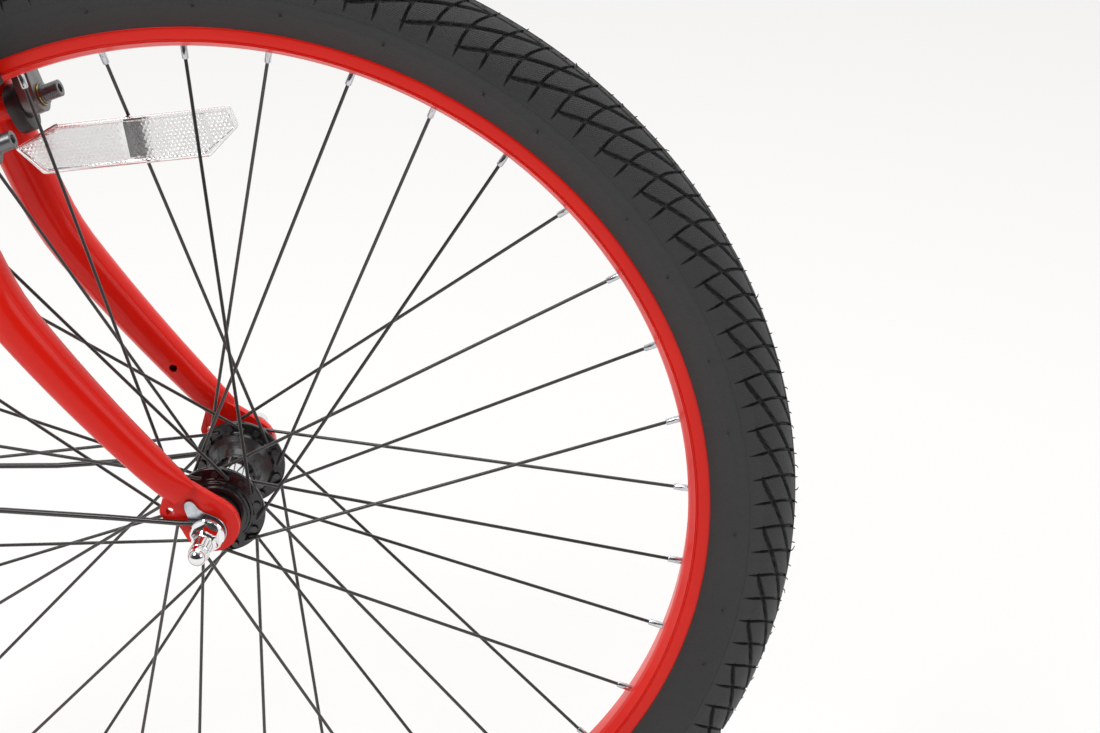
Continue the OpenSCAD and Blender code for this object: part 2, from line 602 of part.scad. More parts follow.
arm_lean = 6;            // how far the arm leans out at the shoe
arm_top_y = pivot_y - 6;
shoe_slot_y = pivot_y + arm_lean;
arm_in_y = shoe_slot_y - 6.5;
module arm_face() {
    hull() {
        translate([pivot_y, pivot_h]) circle(r = 10, $fn = 32);
        translate([shoe_slot_y, shoe_h_t]) circle(r = 7.5, $fn = 32);
    }
    hull() {
        translate([shoe_slot_y, shoe_h_t]) circle(r = 7.5, $fn = 32);
        translate([arm_top_y, link_t]) circle(r = 5, $fn = 32);
    }
}
module brake_arm(side) color("#85888b") on_brake(side) difference() {
    union() {
        f_plate(arm_back, arm_front) arm_face();
        f_rod(pivot_y, pivot_h, 10, cover_back + 2.2, arm_front);
    }
    f_rod(pivot_y, pivot_h, pivot_r + fit, cover_back, arm_front + cut);
    f_rod(pivot_y, pivot_h, 6.9, arm_front - 1, arm_front + cut);
    // slot that lets the shoe slide up and down
    lat_rod(shoe_f, shoe_h_t, stud_r + 0.2, pivot_y - 20, pivot_y + 30);
    // recesses for the shoe's washers and nut
    lat_rod(shoe_f, shoe_h_t, 7.2, 0, arm_in_y);
    lat_rod(shoe_f, shoe_h_t, 7.2, shoe_slot_y + 4.5, pivot_y + 30);
    f_rod(arm_top_y, link_t, 2.6, arm_back - cut, arm_front + cut);
    // seat for the spring's tension screw
    translate([arm_back + 5, pivot_y + 9, pivot_h + 4]) rotate([0, 90, 90]) cylinder(r = 1.6, h = 12);
}
module right_brake_arm() brake_arm(-1);
module left_brake_arm() brake_arm(1);
cover_back = blade_top_d / 2 + 0.4;
cover_r = 12;
cover_drop = 7;
module spring_cover(side) color("#1d1d1e") on_brake(side) difference() {
    f_plate(cover_back, arm_back - 0.2) hull() {
        translate([pivot_y, pivot_h]) circle(r = cover_r, $fn = 48);
        translate([pivot_y, pivot_h - cover_drop]) circle(r = cover_r - 1, $fn = 48);
    }
    f_rod(pivot_y, pivot_h, 10 + fit, cover_back + 2, arm_back + cut);
    f_rod(pivot_y, pivot_h, boss_r + fit, cover_back - cut, arm_back);
}
module right_spring_cover() spring_cover(-1);
module left_spring_cover() spring_cover(1);
spring_wire_r = 0.9;
spring_f = arm_back - 2.4;
spring_top_t = shoe_h_t + 26;
spring_path = [[spring_f, pivot_y + cover_r + spring_wire_r, pivot_h - 4],
    [spring_f, pivot_y + cover_r + spring_wire_r, pivot_h + 6],
    [spring_f, shoe_slot_y + 4, spring_top_t - 3],
    [spring_f, shoe_slot_y + 2, spring_top_t],
    [spring_f, shoe_slot_y - 5, spring_top_t + 3]];
module return_spring(side) color("#9aa0a4") on_brake(side)
    sweep(spring_path, [for (p = spring_path) spring_wire_r], [for (p = spring_path) spring_wire_r], 12, [1, 0, 0]);
module right_return_spring() return_spring(-1);
module left_return_spring() return_spring(1);
stud_r = 3;
stud_len = 32;
washer_r = 6;
// the shoe follows the rim: its long sides are arcs about the axle
rim_track_r = rim_out_r - rim_h / 2;
axle_f = rake;
shoe_span_a = shoe_len / rim_track_r * 180 / PI;
shoe_front_a = shoe_front / rim_track_r * 180 / PI;
shoe_mid_a = atan2(shoe_h_t, shoe_f - axle_f);
module brake_shoe(side) color("#2a2a2b") on_brake(side) difference() {
    translate([axle_f, shoe_y + shoe_t, 0]) rotate([90, 0, 0]) rotate([0, 0, shoe_mid_a - shoe_front_a])
        rotate_extrude(angle = shoe_span_a, $fn = 180)
            translate([rim_track_r - shoe_h / 2, 0]) square([shoe_h, shoe_t]);
    lat_rod(shoe_f, shoe_h_t, stud_r, shoe_y + shoe_t - 4, shoe_y + shoe_t + cut);
}
module right_brake_shoe() brake_shoe(-1);
module left_brake_shoe() brake_shoe(1);
module shoe_stud(side) color("silver") on_brake(side)
    lat_rod(shoe_f, shoe_h_t, stud_r, shoe_y + shoe_t - 4, shoe_y + shoe_t - 4 + stud_len);
module right_shoe_stud() shoe_stud(-1);
module left_shoe_stud() shoe_stud(1);
module shoe_washers(side) color("silver") on_brake(side) {
    lat_ring(shoe_f, shoe_h_t, washer_r, stud_r, shoe_y + shoe_t + 3, shoe_y + shoe_t + 9);
    lat_ring(shoe_f, shoe_h_t, washer_r, stud_r, shoe_y + shoe_t + 9, arm_in_y);
    lat_ring(shoe_f, shoe_h_t, washer_r, stud_r, shoe_slot_y + 4.5, shoe_slot_y + 5.7);
}
module right_shoe_washers() shoe_washers(-1);
module left_shoe_washers() shoe_washers(1);
module shoe_nut(side) color("silver") on_brake(side) difference() {
    translate([shoe_f, 0, shoe_h_t]) hex_bar(10, shoe_slot_y + 5.7, shoe_slot_y + 11);
    lat_rod(shoe_f, shoe_h_t, stud_r, shoe_slot_y, shoe_slot_y + 20);
}
module right_shoe_nut() shoe_nut(-1);
module left_shoe_nut() shoe_nut(1);
// the right arm clamps the cable, the left arm carries the link
module cable_anchor_bolt() color("silver") on_brake(-1) {
    f_rod(arm_top_y, link_t, 2.6, arm_back, arm_front + 1);
    translate([arm_front, arm_top_y, link_t]) rotate([0, 90, 0]) cylinder(r = 4.6, h = 4, $fn = 6);
}
module link_pin() color("silver") on_brake(1) {
    f_rod(arm_top_y, link_t, 2.6, arm_back, arm_front + 3.2);
    f_rod(arm_top_y, link_t, 4, arm_front + 3.2, arm_front + 4.4);
}
module noodle_link() color("silver") on_brake(1) difference() {
    f_plate(arm_front + 0.4, arm_front + 2.8) hull() {
        translate([arm_top_y, link_t]) circle(r = 5, $fn = 32);
        translate([arm_top_y - 20, link_t + 3]) circle(r = 5, $fn = 32);
    }
    f_rod(arm_top_y, link_t, 2.6 + fit, arm_front, arm_front + 4);
    f_rod(arm_top_y - 20, link_t + 3, 2.8, arm_front, arm_front + 4);
}

// ---- mudguard and stays, about the axle ----
guard_crown_drop = 14;
module guard_face(inset) difference() {
    translate([guard_r + guard_t - guard_curve_r, 0]) circle(r = guard_curve_r - inset, $fn = 96);
    translate([-cut, -guard_w]) square([guard_r + guard_t - guard_crown_drop + cut, 2 * guard_w]);
}
guard_curve_r = (pow(guard_w / 2, 2) + pow(guard_crown_drop, 2)) / (2 * guard_crown_drop);
module mudguard() color("#b9bbbd") at_axle() rotate([90, 0, 0]) rotate([0, 0, guard_from])
    rotate_extrude(angle = guard_to - guard_from, $fn = 180) difference() {
        guard_face(0);
        guard_face(guard_t);
    }
guard_out_r = guard_r + guard_t;
bracket_w = 16;
bracket_t = 2;
bracket_back = -blade_top_d / 2 - bracket_t;
foot_a = acos((bracket_back - rake) / guard_out_r) - 0.7;
foot_span = 4.2;
foot_bolt_a = foot_a + 2.6;
foot_bolt_r = 2.4;
module foot_rod(r, from, to) translate([axle_f, 0, 0]) rotate([0, -foot_bolt_a, 0])
    translate([from, 0, 0]) rotate([0, 90, 0]) cylinder(r = r, h = to - from);
module mudguard() color("#b9bbbd") difference() {
    at_axle() rotate([90, 0, 0]) rotate([0, 0, guard_from])
        rotate_extrude(angle = guard_to - guard_from, $fn = 180) difference() {
            guard_face(0);
            guard_face(guard_t);
        }
    on_fork() foot_rod(foot_bolt_r + 0.1, guard_r - 4, guard_out_r + 8);
}
function foot_point(r, a) = [axle_f + r * cos(a), r * sin(a)];
function foot_arc(r, from, to) = [for (i = [0 : 6]) foot_point(r, from + (to - from) * i / 6)];
foot_in_r = guard_out_r + 0.05;
foot_top_r = foot_in_r + bracket_t;
foot_front = bracket_back + bracket_t;
module bracket_face() polygon(concat([[foot_front, crown_bolt_t + 9], [bracket_back, crown_bolt_t + 9]],
    foot_arc(foot_top_r, acos((bracket_back - axle_f) / foot_top_r), foot_a + foot_span),
    foot_arc(foot_in_r, foot_a + foot_span, acos((foot_front - axle_f) / foot_in_r))));
module mudguard_bracket() color("silver") on_fork() difference() {
    translate([0, bracket_w / 2, 0]) rotate([90, 0, 0]) linear_extrude(bracket_w) bracket_face();
    f_rod(0, crown_bolt_t, crown_bolt_r + 0.2, bracket_back - cut, 0);
    foot_rod(foot_bolt_r + 0.1, guard_r, foot_top_r + 6);
}
// stays: each has an eye round the axle and an eye round its bolt at the mudguard
stay_r = stay_d / 2;
stay_y = loop_y + stay_r;
hub_eye_r = axle_r + stay_r + 0.3;
end_eye_r = 4;
ear_in = guard_w / 2 + 0.1;
ear_t = 1.4;
stay_end_y = ear_in + ear_t + stay_r;
stay_end = [-321, stay_end_y, -12];
strap_t = 1.3;
strap_a = 2.6;
function hub_eye(turn) = eye_arc([0, stay_y, 0], hub_eye_r, turn * -200, turn * 80, 16);
function end_eye(turn) = eye_arc(stay_end, end_eye_r, turn * 80, turn * -200, 10);
right_route = [[-16, stay_y, 5.6], [-60, 55, 5.5], [-121, 50, 4.2], [-230, 41, -2]];
left_route = [[-16, stay_y, -7.4], [-60, 55, -13.5], [-121, 50, -18.2], [-230, 41, -19]];
module right_stay() color("#18191a") at_axle() mirror_side(-1)
    wire(concat(hub_eye(1), right_route, end_eye(1)), stay_r);
module left_stay() color("#18191a") at_axle() wire(concat(hub_eye(-1), left_route, end_eye(-1)), stay_r);
module stay_bracket() color("silver") at_axle() difference() {
    union() {
        rotate([90, 0, 0]) rotate([0, 0, 180 + 2]) rotate([0, 0, -strap_a / 2])
            rotate_extrude(angle = strap_a, $fn = 180) difference() {
                guard_face(-strap_t);
                guard_face(0);
            }
        each_side() translate([-335, ear_in, -20]) cube([20, ear_t, 16]);
    }
    translate([stay_end.x, 0, stay_end.z]) y_rod(bolt_r + 0.1, -guard_w, guard_w);
}
bolt_r = 2.2;
module mudguard_fasteners() color("silver") {
    on_fork() {
        f_rod(0, crown_bolt_t, crown_bolt_r, bracket_back - 6, blade_top_d / 2 + 4);
        f_rod(0, crown_bolt_t, 5.5, blade_top_d / 2, blade_top_d / 2 + 4);
    }
    on_fork() translate([bracket_back - 5, 0, crown_bolt_t]) rotate([0, 90, 0])
        difference() {
            cylinder(r = 5.8, h = 5, $fn = 6);
            translate([0, 0, -cut]) cylinder(r = crown_bolt_r, h = 5 + 2 * cut);
        }
    on_fork() foot_rod(foot_bolt_r, guard_r - 2, foot_top_r + 0.2);
    on_fork() foot_rod(4.4, foot_top_r, foot_top_r + 2.6);
    at_axle() each_side() translate([stay_end.x, 0, stay_end.z]) {
        y_rod(bolt_r, ear_in - 3.4, stay_end_y + stay_r + 0.2);
        y_rod(4.6, stay_end_y + stay_r, stay_end_y + stay_r + 2.6);
    }
}
steerer_tube();
crown_race();
right_blade();
left_blade();
right_dropout();
left_dropout();
right_brake_boss();
left_brake_boss();
axle();
bearing_cones();
axle_spacers();
axle_locknuts();
right_tab_washer();
left_tab_washer();
right_axle_nut();
left_axle_nut();
hub_shell();
bearing_cups();
dust_caps();
bearing_balls();
ball_retainers();
rim();
rim_tape();
inner_tube();
tyre();
valve_stem();
valve_cap();
right_outer_spokes();
right_inner_spokes();
left_outer_spokes();
left_inner_spokes();
nipples();
reflector_lens();
reflector_back();
reflector_clip();
pivot_bolts();
pivot_washers();
right_brake_arm();
left_brake_arm();
right_spring_cover();
left_spring_cover();
right_return_spring();
left_return_spring();
right_brake_shoe();
left_brake_shoe();
right_shoe_stud();
left_shoe_stud();
right_shoe_washers();
left_shoe_washers();
right_shoe_nut();
left_shoe_nut();
cable_anchor_bolt();
noodle_link();
link_pin();
mudguard();
mudguard_bracket();
mudguard_fasteners();
right_stay();
left_stay();
stay_bracket();
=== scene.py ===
import math
import bpy
import numpy as np
from mathutils import Matrix, Vector


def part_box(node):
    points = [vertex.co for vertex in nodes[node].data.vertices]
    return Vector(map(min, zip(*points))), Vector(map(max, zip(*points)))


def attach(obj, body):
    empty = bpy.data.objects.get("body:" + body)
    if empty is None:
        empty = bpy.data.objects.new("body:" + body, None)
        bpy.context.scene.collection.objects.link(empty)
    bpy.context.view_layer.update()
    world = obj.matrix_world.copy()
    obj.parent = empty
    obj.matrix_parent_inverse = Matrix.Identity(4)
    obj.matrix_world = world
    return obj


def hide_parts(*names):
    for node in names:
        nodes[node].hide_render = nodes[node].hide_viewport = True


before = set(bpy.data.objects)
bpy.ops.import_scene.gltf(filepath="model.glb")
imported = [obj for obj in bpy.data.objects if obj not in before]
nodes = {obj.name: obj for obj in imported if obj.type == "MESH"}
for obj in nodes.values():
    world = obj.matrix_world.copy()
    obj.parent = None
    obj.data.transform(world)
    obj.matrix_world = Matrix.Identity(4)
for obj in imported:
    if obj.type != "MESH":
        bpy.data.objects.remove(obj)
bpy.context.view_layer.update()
lowAxle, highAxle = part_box("axle")
axleAt = np.array((lowAxle + highAxle) / 2)     # middle of the wheel
deg = math.pi / 180
mm = 0.001
print("frame loaded:", len(nodes), "nodes")


# small mesh helpers
def wheelPoint(radius, angle, side=0.0):
    # a point about the axle, from mm and degrees
    return axleAt + np.array((radius * math.cos(angle * deg), side, radius * math.sin(angle * deg))) * mm


def makePiece(name, verts, faces, material, body, replaced=(), sharp=38, uvs=None):
    mesh = bpy.data.meshes.new(name)
    mesh.from_pydata([tuple(v) for v in verts], [], [tuple(f) for f in faces])
    if uvs is not None:
        layer = mesh.uv_layers.new(name="laid")
        loops = np.zeros(len(mesh.loops), np.int32)
        mesh.loops.foreach_get("vertex_index", loops)
        layer.data.foreach_set("uv", np.asarray(uvs, np.float32)[loops].ravel())
    mesh.validate()
    mesh.polygons.foreach_set("use_smooth", [True] * len(mesh.polygons))
    mesh.set_sharp_from_angle(angle=sharp * deg)
    mesh.materials.append(material)
    piece = bpy.data.objects.new(name, mesh)
    bpy.context.scene.collection.objects.link(piece)
    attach(piece, body)
    if replaced:
        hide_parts(*replaced)
    return piece


def gridFaces(rows, columns, closeRows, closeColumns, flip=False):
    faces = []
    for i in range(rows if closeRows else rows - 1):
        for j in range(columns if closeColumns else columns - 1):
            a, b = i * columns + j, i * columns + (j + 1) % columns
            c, d = ((i + 1) % rows) * columns + (j + 1) % columns, ((i + 1) % rows) * columns + j
            faces.append((a, d, c, b) if flip else (a, b, c, d))
    return faces


def roundedOutline(points, radius, steps=3):
    # softens each corner of a closed outline
    points = [np.array(p, float) for p in points]
    out = []
    for i, p in enumerate(points):
        before, after = points[i - 1] - p, points[(i + 1) % len(points)] - p
        lengths = np.linalg.norm(before), np.linalg.norm(after)
        reach = min(radius, 0.45 * min(lengths))
        a, b = p + before / lengths[0] * reach, p + after / lengths[1] * reach
        for k in range(steps + 1):
            t = k / steps
            out.append(a * (1 - t) ** 2 + p * 2 * t * (1 - t) + b * t * t)
    return out


def turnedMesh(outline, count):
    # outline is (radius, side) in mm, anticlockwise, turned about the axle
    verts = [wheelPoint(r, 360 * i / count, y) for i in range(count) for r, y in outline]
    return verts, gridFaces(count, len(outline), True, True, flip=True)


def tubeMesh(path, radius, sides=18, capped=True):
    # a round wire along a path of points in metres
    path = [np.array(p, float) for p in path]
    verts = []
    up = None
    for i, p in enumerate(path):
        along = path[min(i + 1, len(path) - 1)] - path[max(i - 1, 0)]
        along = along / np.linalg.norm(along)
        if up is None:
            up = np.cross(along, (0, 1, 0) if abs(along[1]) < 0.9 else (1, 0, 0))
        up = up - along * np.dot(up, along)
        up = up / np.linalg.norm(up)
        side = np.cross(along, up)
        wide = radius[i] if isinstance(radius, (list, tuple)) else radius
        for k in range(sides):
            a = 2 * math.pi * k / sides
            verts.append(p + (up * math.cos(a) + side * math.sin(a)) * wide)
    faces = gridFaces(len(path), sides, False, True)
    if capped:
        faces.append(tuple(range(sides))[::-1])
        faces.append(tuple((len(path) - 1) * sides + k for k in range(sides)))
    return verts, faces


def joined(parts):
    verts, faces = [], []
    for v, f in parts:
        start = len(verts)
        verts += list(v)
        faces += [tuple(start + i for i in face) for face in f]
    return verts, faces


# effects that several materials share
def newGroup(name, inputs, outputs):
    group = bpy.data.node_groups.new(name, "ShaderNodeTree")
    for label, kind, value in inputs:
        socket = group.interface.new_socket(label, in_out="INPUT", socket_type=kind)
        if value is not None:
            socket.default_value = value
    for label, kind in outputs:
        group.interface.new_socket(label, in_out="OUTPUT", socket_type=kind)
    return group, group.nodes.new("NodeGroupInput"), group.nodes.new("NodeGroupOutput")


def calc(tree, operation, a, b=None):
    node = tree.nodes.new("ShaderNodeMath")
    node.operation = operation
    for socket, value in zip(node.inputs, (a, b)):
        if value is None:
            continue
        if isinstance(value, (int, float)):
            socket.default_value = value
        else:
            tree.links.new(value, socket)
    return node.outputs[0]


def buildSurfaceLife():
    # uneven tone and roughness, and a fine height for bump
    group, given, out = newGroup("surfaceLife", [
        ("Vector", "NodeSocketVector", None), ("Blotch Scale", "NodeSocketFloat", 12.0),
        ("Grain Scale", "NodeSocketFloat", 900.0), ("Colour", "NodeSocketColor", (0.5, 0.5, 0.5, 1)),
        ("Worn Colour", "NodeSocketColor", (0.4, 0.4, 0.4, 1)), ("Smooth", "NodeSocketFloat", 0.3),
        ("Dull", "NodeSocketFloat", 0.4)],
        [("Colour", "NodeSocketColor"), ("Roughness", "NodeSocketFloat"), ("Height", "NodeSocketFloat")])
    links = group.links
    blotch = group.nodes.new("ShaderNodeTexNoise")
    grain = group.nodes.new("ShaderNodeTexNoise")
    blotch.inputs["Detail"].default_value = 4
    grain.inputs["Detail"].default_value = 2
    for node, label in ((blotch, "Blotch Scale"), (grain, "Grain Scale")):
        links.new(given.outputs["Vector"], node.inputs["Vector"])
        links.new(given.outputs[label], node.inputs["Scale"])
    spread = group.nodes.new("ShaderNodeMapRange")
    spread.inputs["From Min"].default_value = 0.35
    spread.inputs["From Max"].default_value = 0.7
    links.new(blotch.outputs["Fac"], spread.inputs["Value"])
    mixer = group.nodes.new("ShaderNodeMix")
    mixer.data_type = "RGBA"
    links.new(spread.outputs["Result"], mixer.inputs["Factor"])
    links.new(given.outputs["Colour"], mixer.inputs["A"])
    links.new(given.outputs["Worn Colour"], mixer.inputs["B"])
    rough = group.nodes.new("ShaderNodeMapRange")
    links.new(spread.outputs["Result"], rough.inputs["Value"])
    links.new(given.outputs["Smooth"], rough.inputs["To Min"])
    links.new(given.outputs["Dull"], rough.inputs["To Max"])
    links.new(mixer.outputs["Result"], out.inputs["Colour"])
    links.new(rough.outputs["Result"], out.inputs["Roughness"])
    links.new(grain.outputs["Fac"], out.inputs["Height"])
    return group


def buildTurnedLines():
    # fine rings about the axle, as a lathe leaves them
    group, given, out = newGroup("turnedLines", [
        ("Vector", "NodeSocketVector", None), ("Pitch", "NodeSocketFloat", 0.0008)],
        [("Height", "NodeSocketFloat")])
    links = group.links
    shift = group.nodes.new("ShaderNodeVectorMath")
    shift.operation = "SUBTRACT"
    shift.inputs[1].default_value = tuple(axleAt)
    links.new(given.outputs["Vector"], shift.inputs[0])
    split = group.nodes.new("ShaderNodeSeparateXYZ")
    links.new(shift.outputs[0], split.inputs[0])
    squares = [calc(group, "MULTIPLY", split.outputs[axis], split.outputs[axis]) for axis in "XZ"]
    radius = calc(group, "SQRT", calc(group, "ADD", *squares))
    turns = calc(group, "DIVIDE", radius, given.outputs["Pitch"])
    links.new(calc(group, "SINE", calc(group, "MULTIPLY", turns, 2 * math.pi)), out.inputs["Height"])
    return group


surfaceLife = buildSurfaceLife()
turnedLines = buildTurnedLines()


# each finish: its two tones, roughness range, coat and the size of its grain
finishes = {
    "forkRed": dict(colour=(0.80, 0.012, 0.004), worn=(0.73, 0.009, 0.003), smooth=0.28, dull=0.36, coat=0.22,
                    coatRoughness=0.06, grain=420, bump=0.05, shine=0.16),
    "rimRed": dict(colour=(0.84, 0.014, 0.005), worn=(0.77, 0.010, 0.004), smooth=0.30, dull=0.40, coat=0.18,
                   coatRoughness=0.10, grain=500, bump=0.04, shine=0.18),
    "hubBlack": dict(colour=(0.006, 0.006, 0.0065), worn=(0.010, 0.010, 0.011), smooth=0.22, dull=0.36,
                     coat=0.3, coatRoughness=0.08, grain=700, bump=0.03, rings=0.0009),
    "wireBlack": dict(colour=(0.018, 0.018, 0.018), worn=(0.030, 0.029, 0.028), smooth=0.26, dull=0.40,
                      coat=0.4, coatRoughness=0.15, grain=1600, bump=0.05),
    "nutChrome": dict(colour=(0.86, 0.87, 0.88), worn=(0.78, 0.79, 0.81), smooth=0.03, dull=0.09,
                      metallic=1.0, grain=900, bump=0.01),
    "nippleSilver": dict(colour=(0.62, 0.64, 0.67), worn=(0.50, 0.52, 0.55), smooth=0.16, dull=0.26,
                         metallic=1.0, blotch=300, grain=1400, bump=0.05),
    "zincPlate": dict(colour=(0.58, 0.61, 0.65), worn=(0.44, 0.48, 0.54), smooth=0.22, dull=0.40,
                      metallic=1.0, blotch=160, grain=1500, bump=0.06),
    "turnedSteel": dict(colour=(0.60, 0.61, 0.62), worn=(0.50, 0.51, 0.52), smooth=0.18, dull=0.30,
                        metallic=1.0, grain=1400, bump=0.04, rings=0.0006),
    "goldWasher": dict(colour=(0.80, 0.56, 0.20), worn=(0.66, 0.44, 0.14), smooth=0.16, dull=0.30,
                       metallic=1.0, grain=1200, bump=0.03),
    "armGrey": dict(colour=(0.15, 0.15, 0.155), worn=(0.22, 0.22, 0.225), smooth=0.26, dull=0.40,
                    metallic=0.85, blotch=60, grain=1800, bump=0.10),
    "springSteel": dict(colour=(0.55, 0.56, 0.57), worn=(0.44, 0.45, 0.46), smooth=0.2, dull=0.32,
                        metallic=1.0, grain=1400, bump=0.04),
    "guardBlack": dict(colour=(0.012, 0.012, 0.013), worn=(0.020, 0.020, 0.021), smooth=0.18, dull=0.30,
                       coat=0.5, coatRoughness=0.05, grain=500, bump=0.03),
    "padRubber": dict(colour=(0.022, 0.022, 0.022), worn=(0.034, 0.034, 0.034), smooth=0.58, dull=0.75,
                      grain=1400, bump=0.25),
    "tubeRubber": dict(colour=(0.020, 0.020, 0.020), worn=(0.028, 0.028, 0.028), smooth=0.5, dull=0.7,
                       grain=900, bump=0.15),
    "coverPlastic": dict(colour=(0.008, 0.008, 0.009), worn=(0.014, 0.014, 0.015), smooth=0.34, dull=0.46,
                         grain=1500, bump=0.12),
    "clearPlastic": dict(colour=(1.0, 1.0, 1.0), worn=(0.97, 0.97, 0.97), smooth=0.02, dull=0.06, clear=1.0,
                         grain=600, bump=0.02),
    "prismPlastic": dict(colour=(1.0, 1.0, 1.0), worn=(0.97, 0.97, 0.97), smooth=0.04, dull=0.10, clear=0.9,
                         coat=0.6, coatRoughness=0.04, grain=600, bump=0.02),
}


bumpDepth = 0.0006     # metres, for every finish


def makeFinish(name):
    look = finishes[name]
    material = bpy.data.materials.new(name)
    material.use_nodes = True
    tree = material.node_tree
    shader = tree.nodes["Principled BSDF"]
    place = tree.nodes.new("ShaderNodeTexCoord")
    life = tree.nodes.new("ShaderNodeGroup")
    life.node_tree = surfaceLife
    life.inputs["Blotch Scale"].default_value = look.get("blotch", 14)
    life.inputs["Grain Scale"].default_value = look["grain"]
    life.inputs["Colour"].default_value = (*look["colour"], 1)
    life.inputs["Worn Colour"].default_value = (*look["worn"], 1)
    life.inputs["Smooth"].default_value = look["smooth"]
    life.inputs["Dull"].default_value = look["dull"]
    bump = tree.nodes.new("ShaderNodeBump")
    bump.inputs["Strength"].default_value = look["bump"]
    bump.inputs["Distance"].default_value = bumpDepth
    tree.links.new(place.outputs["Object"], life.inputs["Vector"])
    tree.links.new(life.outputs["Colour"], shader.inputs["Base Color"])
    tree.links.new(life.outputs["Roughness"], shader.inputs["Roughness"])
    height = life.outputs["Height"]
    if "rings" in look:
        lathe = tree.nodes.new("ShaderNodeGroup")
        lathe.node_tree = turnedLines
        lathe.inputs["Pitch"].default_value = look["rings"]
        tree.links.new(place.outputs["Object"], lathe.inputs["Vector"])
        height = calc(tree, "ADD", height, lathe.outputs["Height"])
    tree.links.new(height, bump.inputs["Height"])
    tree.links.new(bump.outputs["Normal"], shader.inputs["Normal"])
    shader.inputs["Metallic"].default_value = look.get("metallic", 0.0)
    shader.inputs["Coat Weight"].default_value = look.get("coat", 0.0)
    shader.inputs["Coat Roughness"].default_value = look.get("coatRoughness", 0.03)
    shader.inputs["Specular IOR Level"].default_value = look.get("shine", 0.5)
    if "clear" in look:
        shader.inputs["Transmission Weight"].default_value = look["clear"]
        shader.inputs["IOR"].default_value = 1.49
    return material


made = {name: makeFinish(name) for name in finishes}


rubberLook = dict(colour=(0.0315, 0.0330, 0.0340), worn=(0.0410, 0.0425, 0.0425), blotch=26, grain=1500,
                  smooth=0.50, dull=0.66, hatchSlant=0.7, hatchPitch=4.8, hatchTo=33.0, hatchShare=0.5,
                  bump=0.8, shine=0.4)


def makeTreadRubber():
    # moulded rubber with a knurled hatch on the tread blocks
    look = rubberLook
    material = bpy.data.materials.new("treadRubber")
    material.use_nodes = True
    tree = material.node_tree
    links = tree.links
    shader = tree.nodes["Principled BSDF"]
    place = tree.nodes.new("ShaderNodeTexCoord")
    laid = tree.nodes.new("ShaderNodeUVMap")
    laid.uv_map = "laid"
    split = tree.nodes.new("ShaderNodeSeparateXYZ")
    links.new(laid.outputs["UV"], split.inputs[0])
    life = tree.nodes.new("ShaderNodeGroup")
    life.node_tree = surfaceLife
    for label, value in (("Blotch Scale", look["blotch"]), ("Grain Scale", look["grain"]),
                         ("Colour", (*look["colour"], 1)), ("Worn Colour", (*look["worn"], 1)),
                         ("Smooth", look["smooth"]), ("Dull", look["dull"])):
        life.inputs[label].default_value = value
    links.new(place.outputs["Object"], life.inputs["Vector"])
    # u is mm along the tread, v is mm across it from the crown
    slant = calc(tree, "MULTIPLY", split.outputs["Y"], look["hatchSlant"])
    waves = []
    for operation in ("ADD", "SUBTRACT"):
        along = calc(tree, operation, split.outputs["X"], slant)
        waves.append(calc(tree, "SINE", calc(tree, "MULTIPLY", along, look["hatchPitch"])))
    onTread = calc(tree, "LESS_THAN", calc(tree, "ABSOLUTE", split.outputs["Y"]), look["hatchTo"])
    knurl = calc(tree, "MULTIPLY", calc(tree, "MULTIPLY", calc(tree, "ADD", *waves), 0.5), onTread)
    height = calc(tree, "ADD", calc(tree, "MULTIPLY", knurl, look["hatchShare"]), life.outputs["Height"])
    bump = tree.nodes.new("ShaderNodeBump")
    bump.inputs["Strength"].default_value = look["bump"]
    bump.inputs["Distance"].default_value = bumpDepth
    links.new(height, bump.inputs["Height"])
    links.new(bump.outputs["Normal"], shader.inputs["Normal"])
    links.new(life.outputs["Colour"], shader.inputs["Base Color"])
    links.new(life.outputs["Roughness"], shader.inputs["Roughness"])
    shader.inputs["Specular IOR Level"].default_value = look["shine"]
    return material


treadRubber = makeTreadRubber()
print("finishes made:", len(made) + 1)


# CAD nodes that stay as they are: welded, edges broken, smooth only where the shape is
dressing = dict(smoothBelow=34, weldWithin=0.000004, flatWithin=0.4, bevelAbove=40, bevelSteps=2)


def buildTidyEdges():
    group = bpy.data.node_groups.new("tidyEdges", "GeometryNodeTree")
    group.is_modifier = True
    group.interface.new_socket("Geometry", in_out="INPUT", socket_type="NodeSocketGeometry")
    group.interface.new_socket("Geometry", in_out="OUTPUT", socket_type="NodeSocketGeometry")
    given, out = group.nodes.new("NodeGroupInput"), group.nodes.new("NodeGroupOutput")
    angle = group.nodes.new("GeometryNodeInputMeshEdgeAngle")
    compare = group.nodes.new("FunctionNodeCompare")
    compare.data_type = "FLOAT"
    compare.operation = "LESS_THAN"
    compare.inputs["B"].default_value = dressing["smoothBelow"] * deg
    group.links.new(angle.outputs["Unsigned Angle"], compare.inputs["A"])
    facesSmooth = group.nodes.new("GeometryNodeSetShadeSmooth")
    facesSmooth.domain = "FACE"
    edgesSmooth = group.nodes.new("GeometryNodeSetShadeSmooth")
    edgesSmooth.domain = "EDGE"
    group.links.new(given.outputs[0], facesSmooth.inputs["Geometry"])
    group.links.new(facesSmooth.outputs[0], edgesSmooth.inputs["Geometry"])
    group.links.new(compare.outputs["Result"], edgesSmooth.inputs["Shade Smooth"])
    group.links.new(edgesSmooth.outputs[0], out.inputs[0])
    return group


tidyEdges = buildTidyEdges()


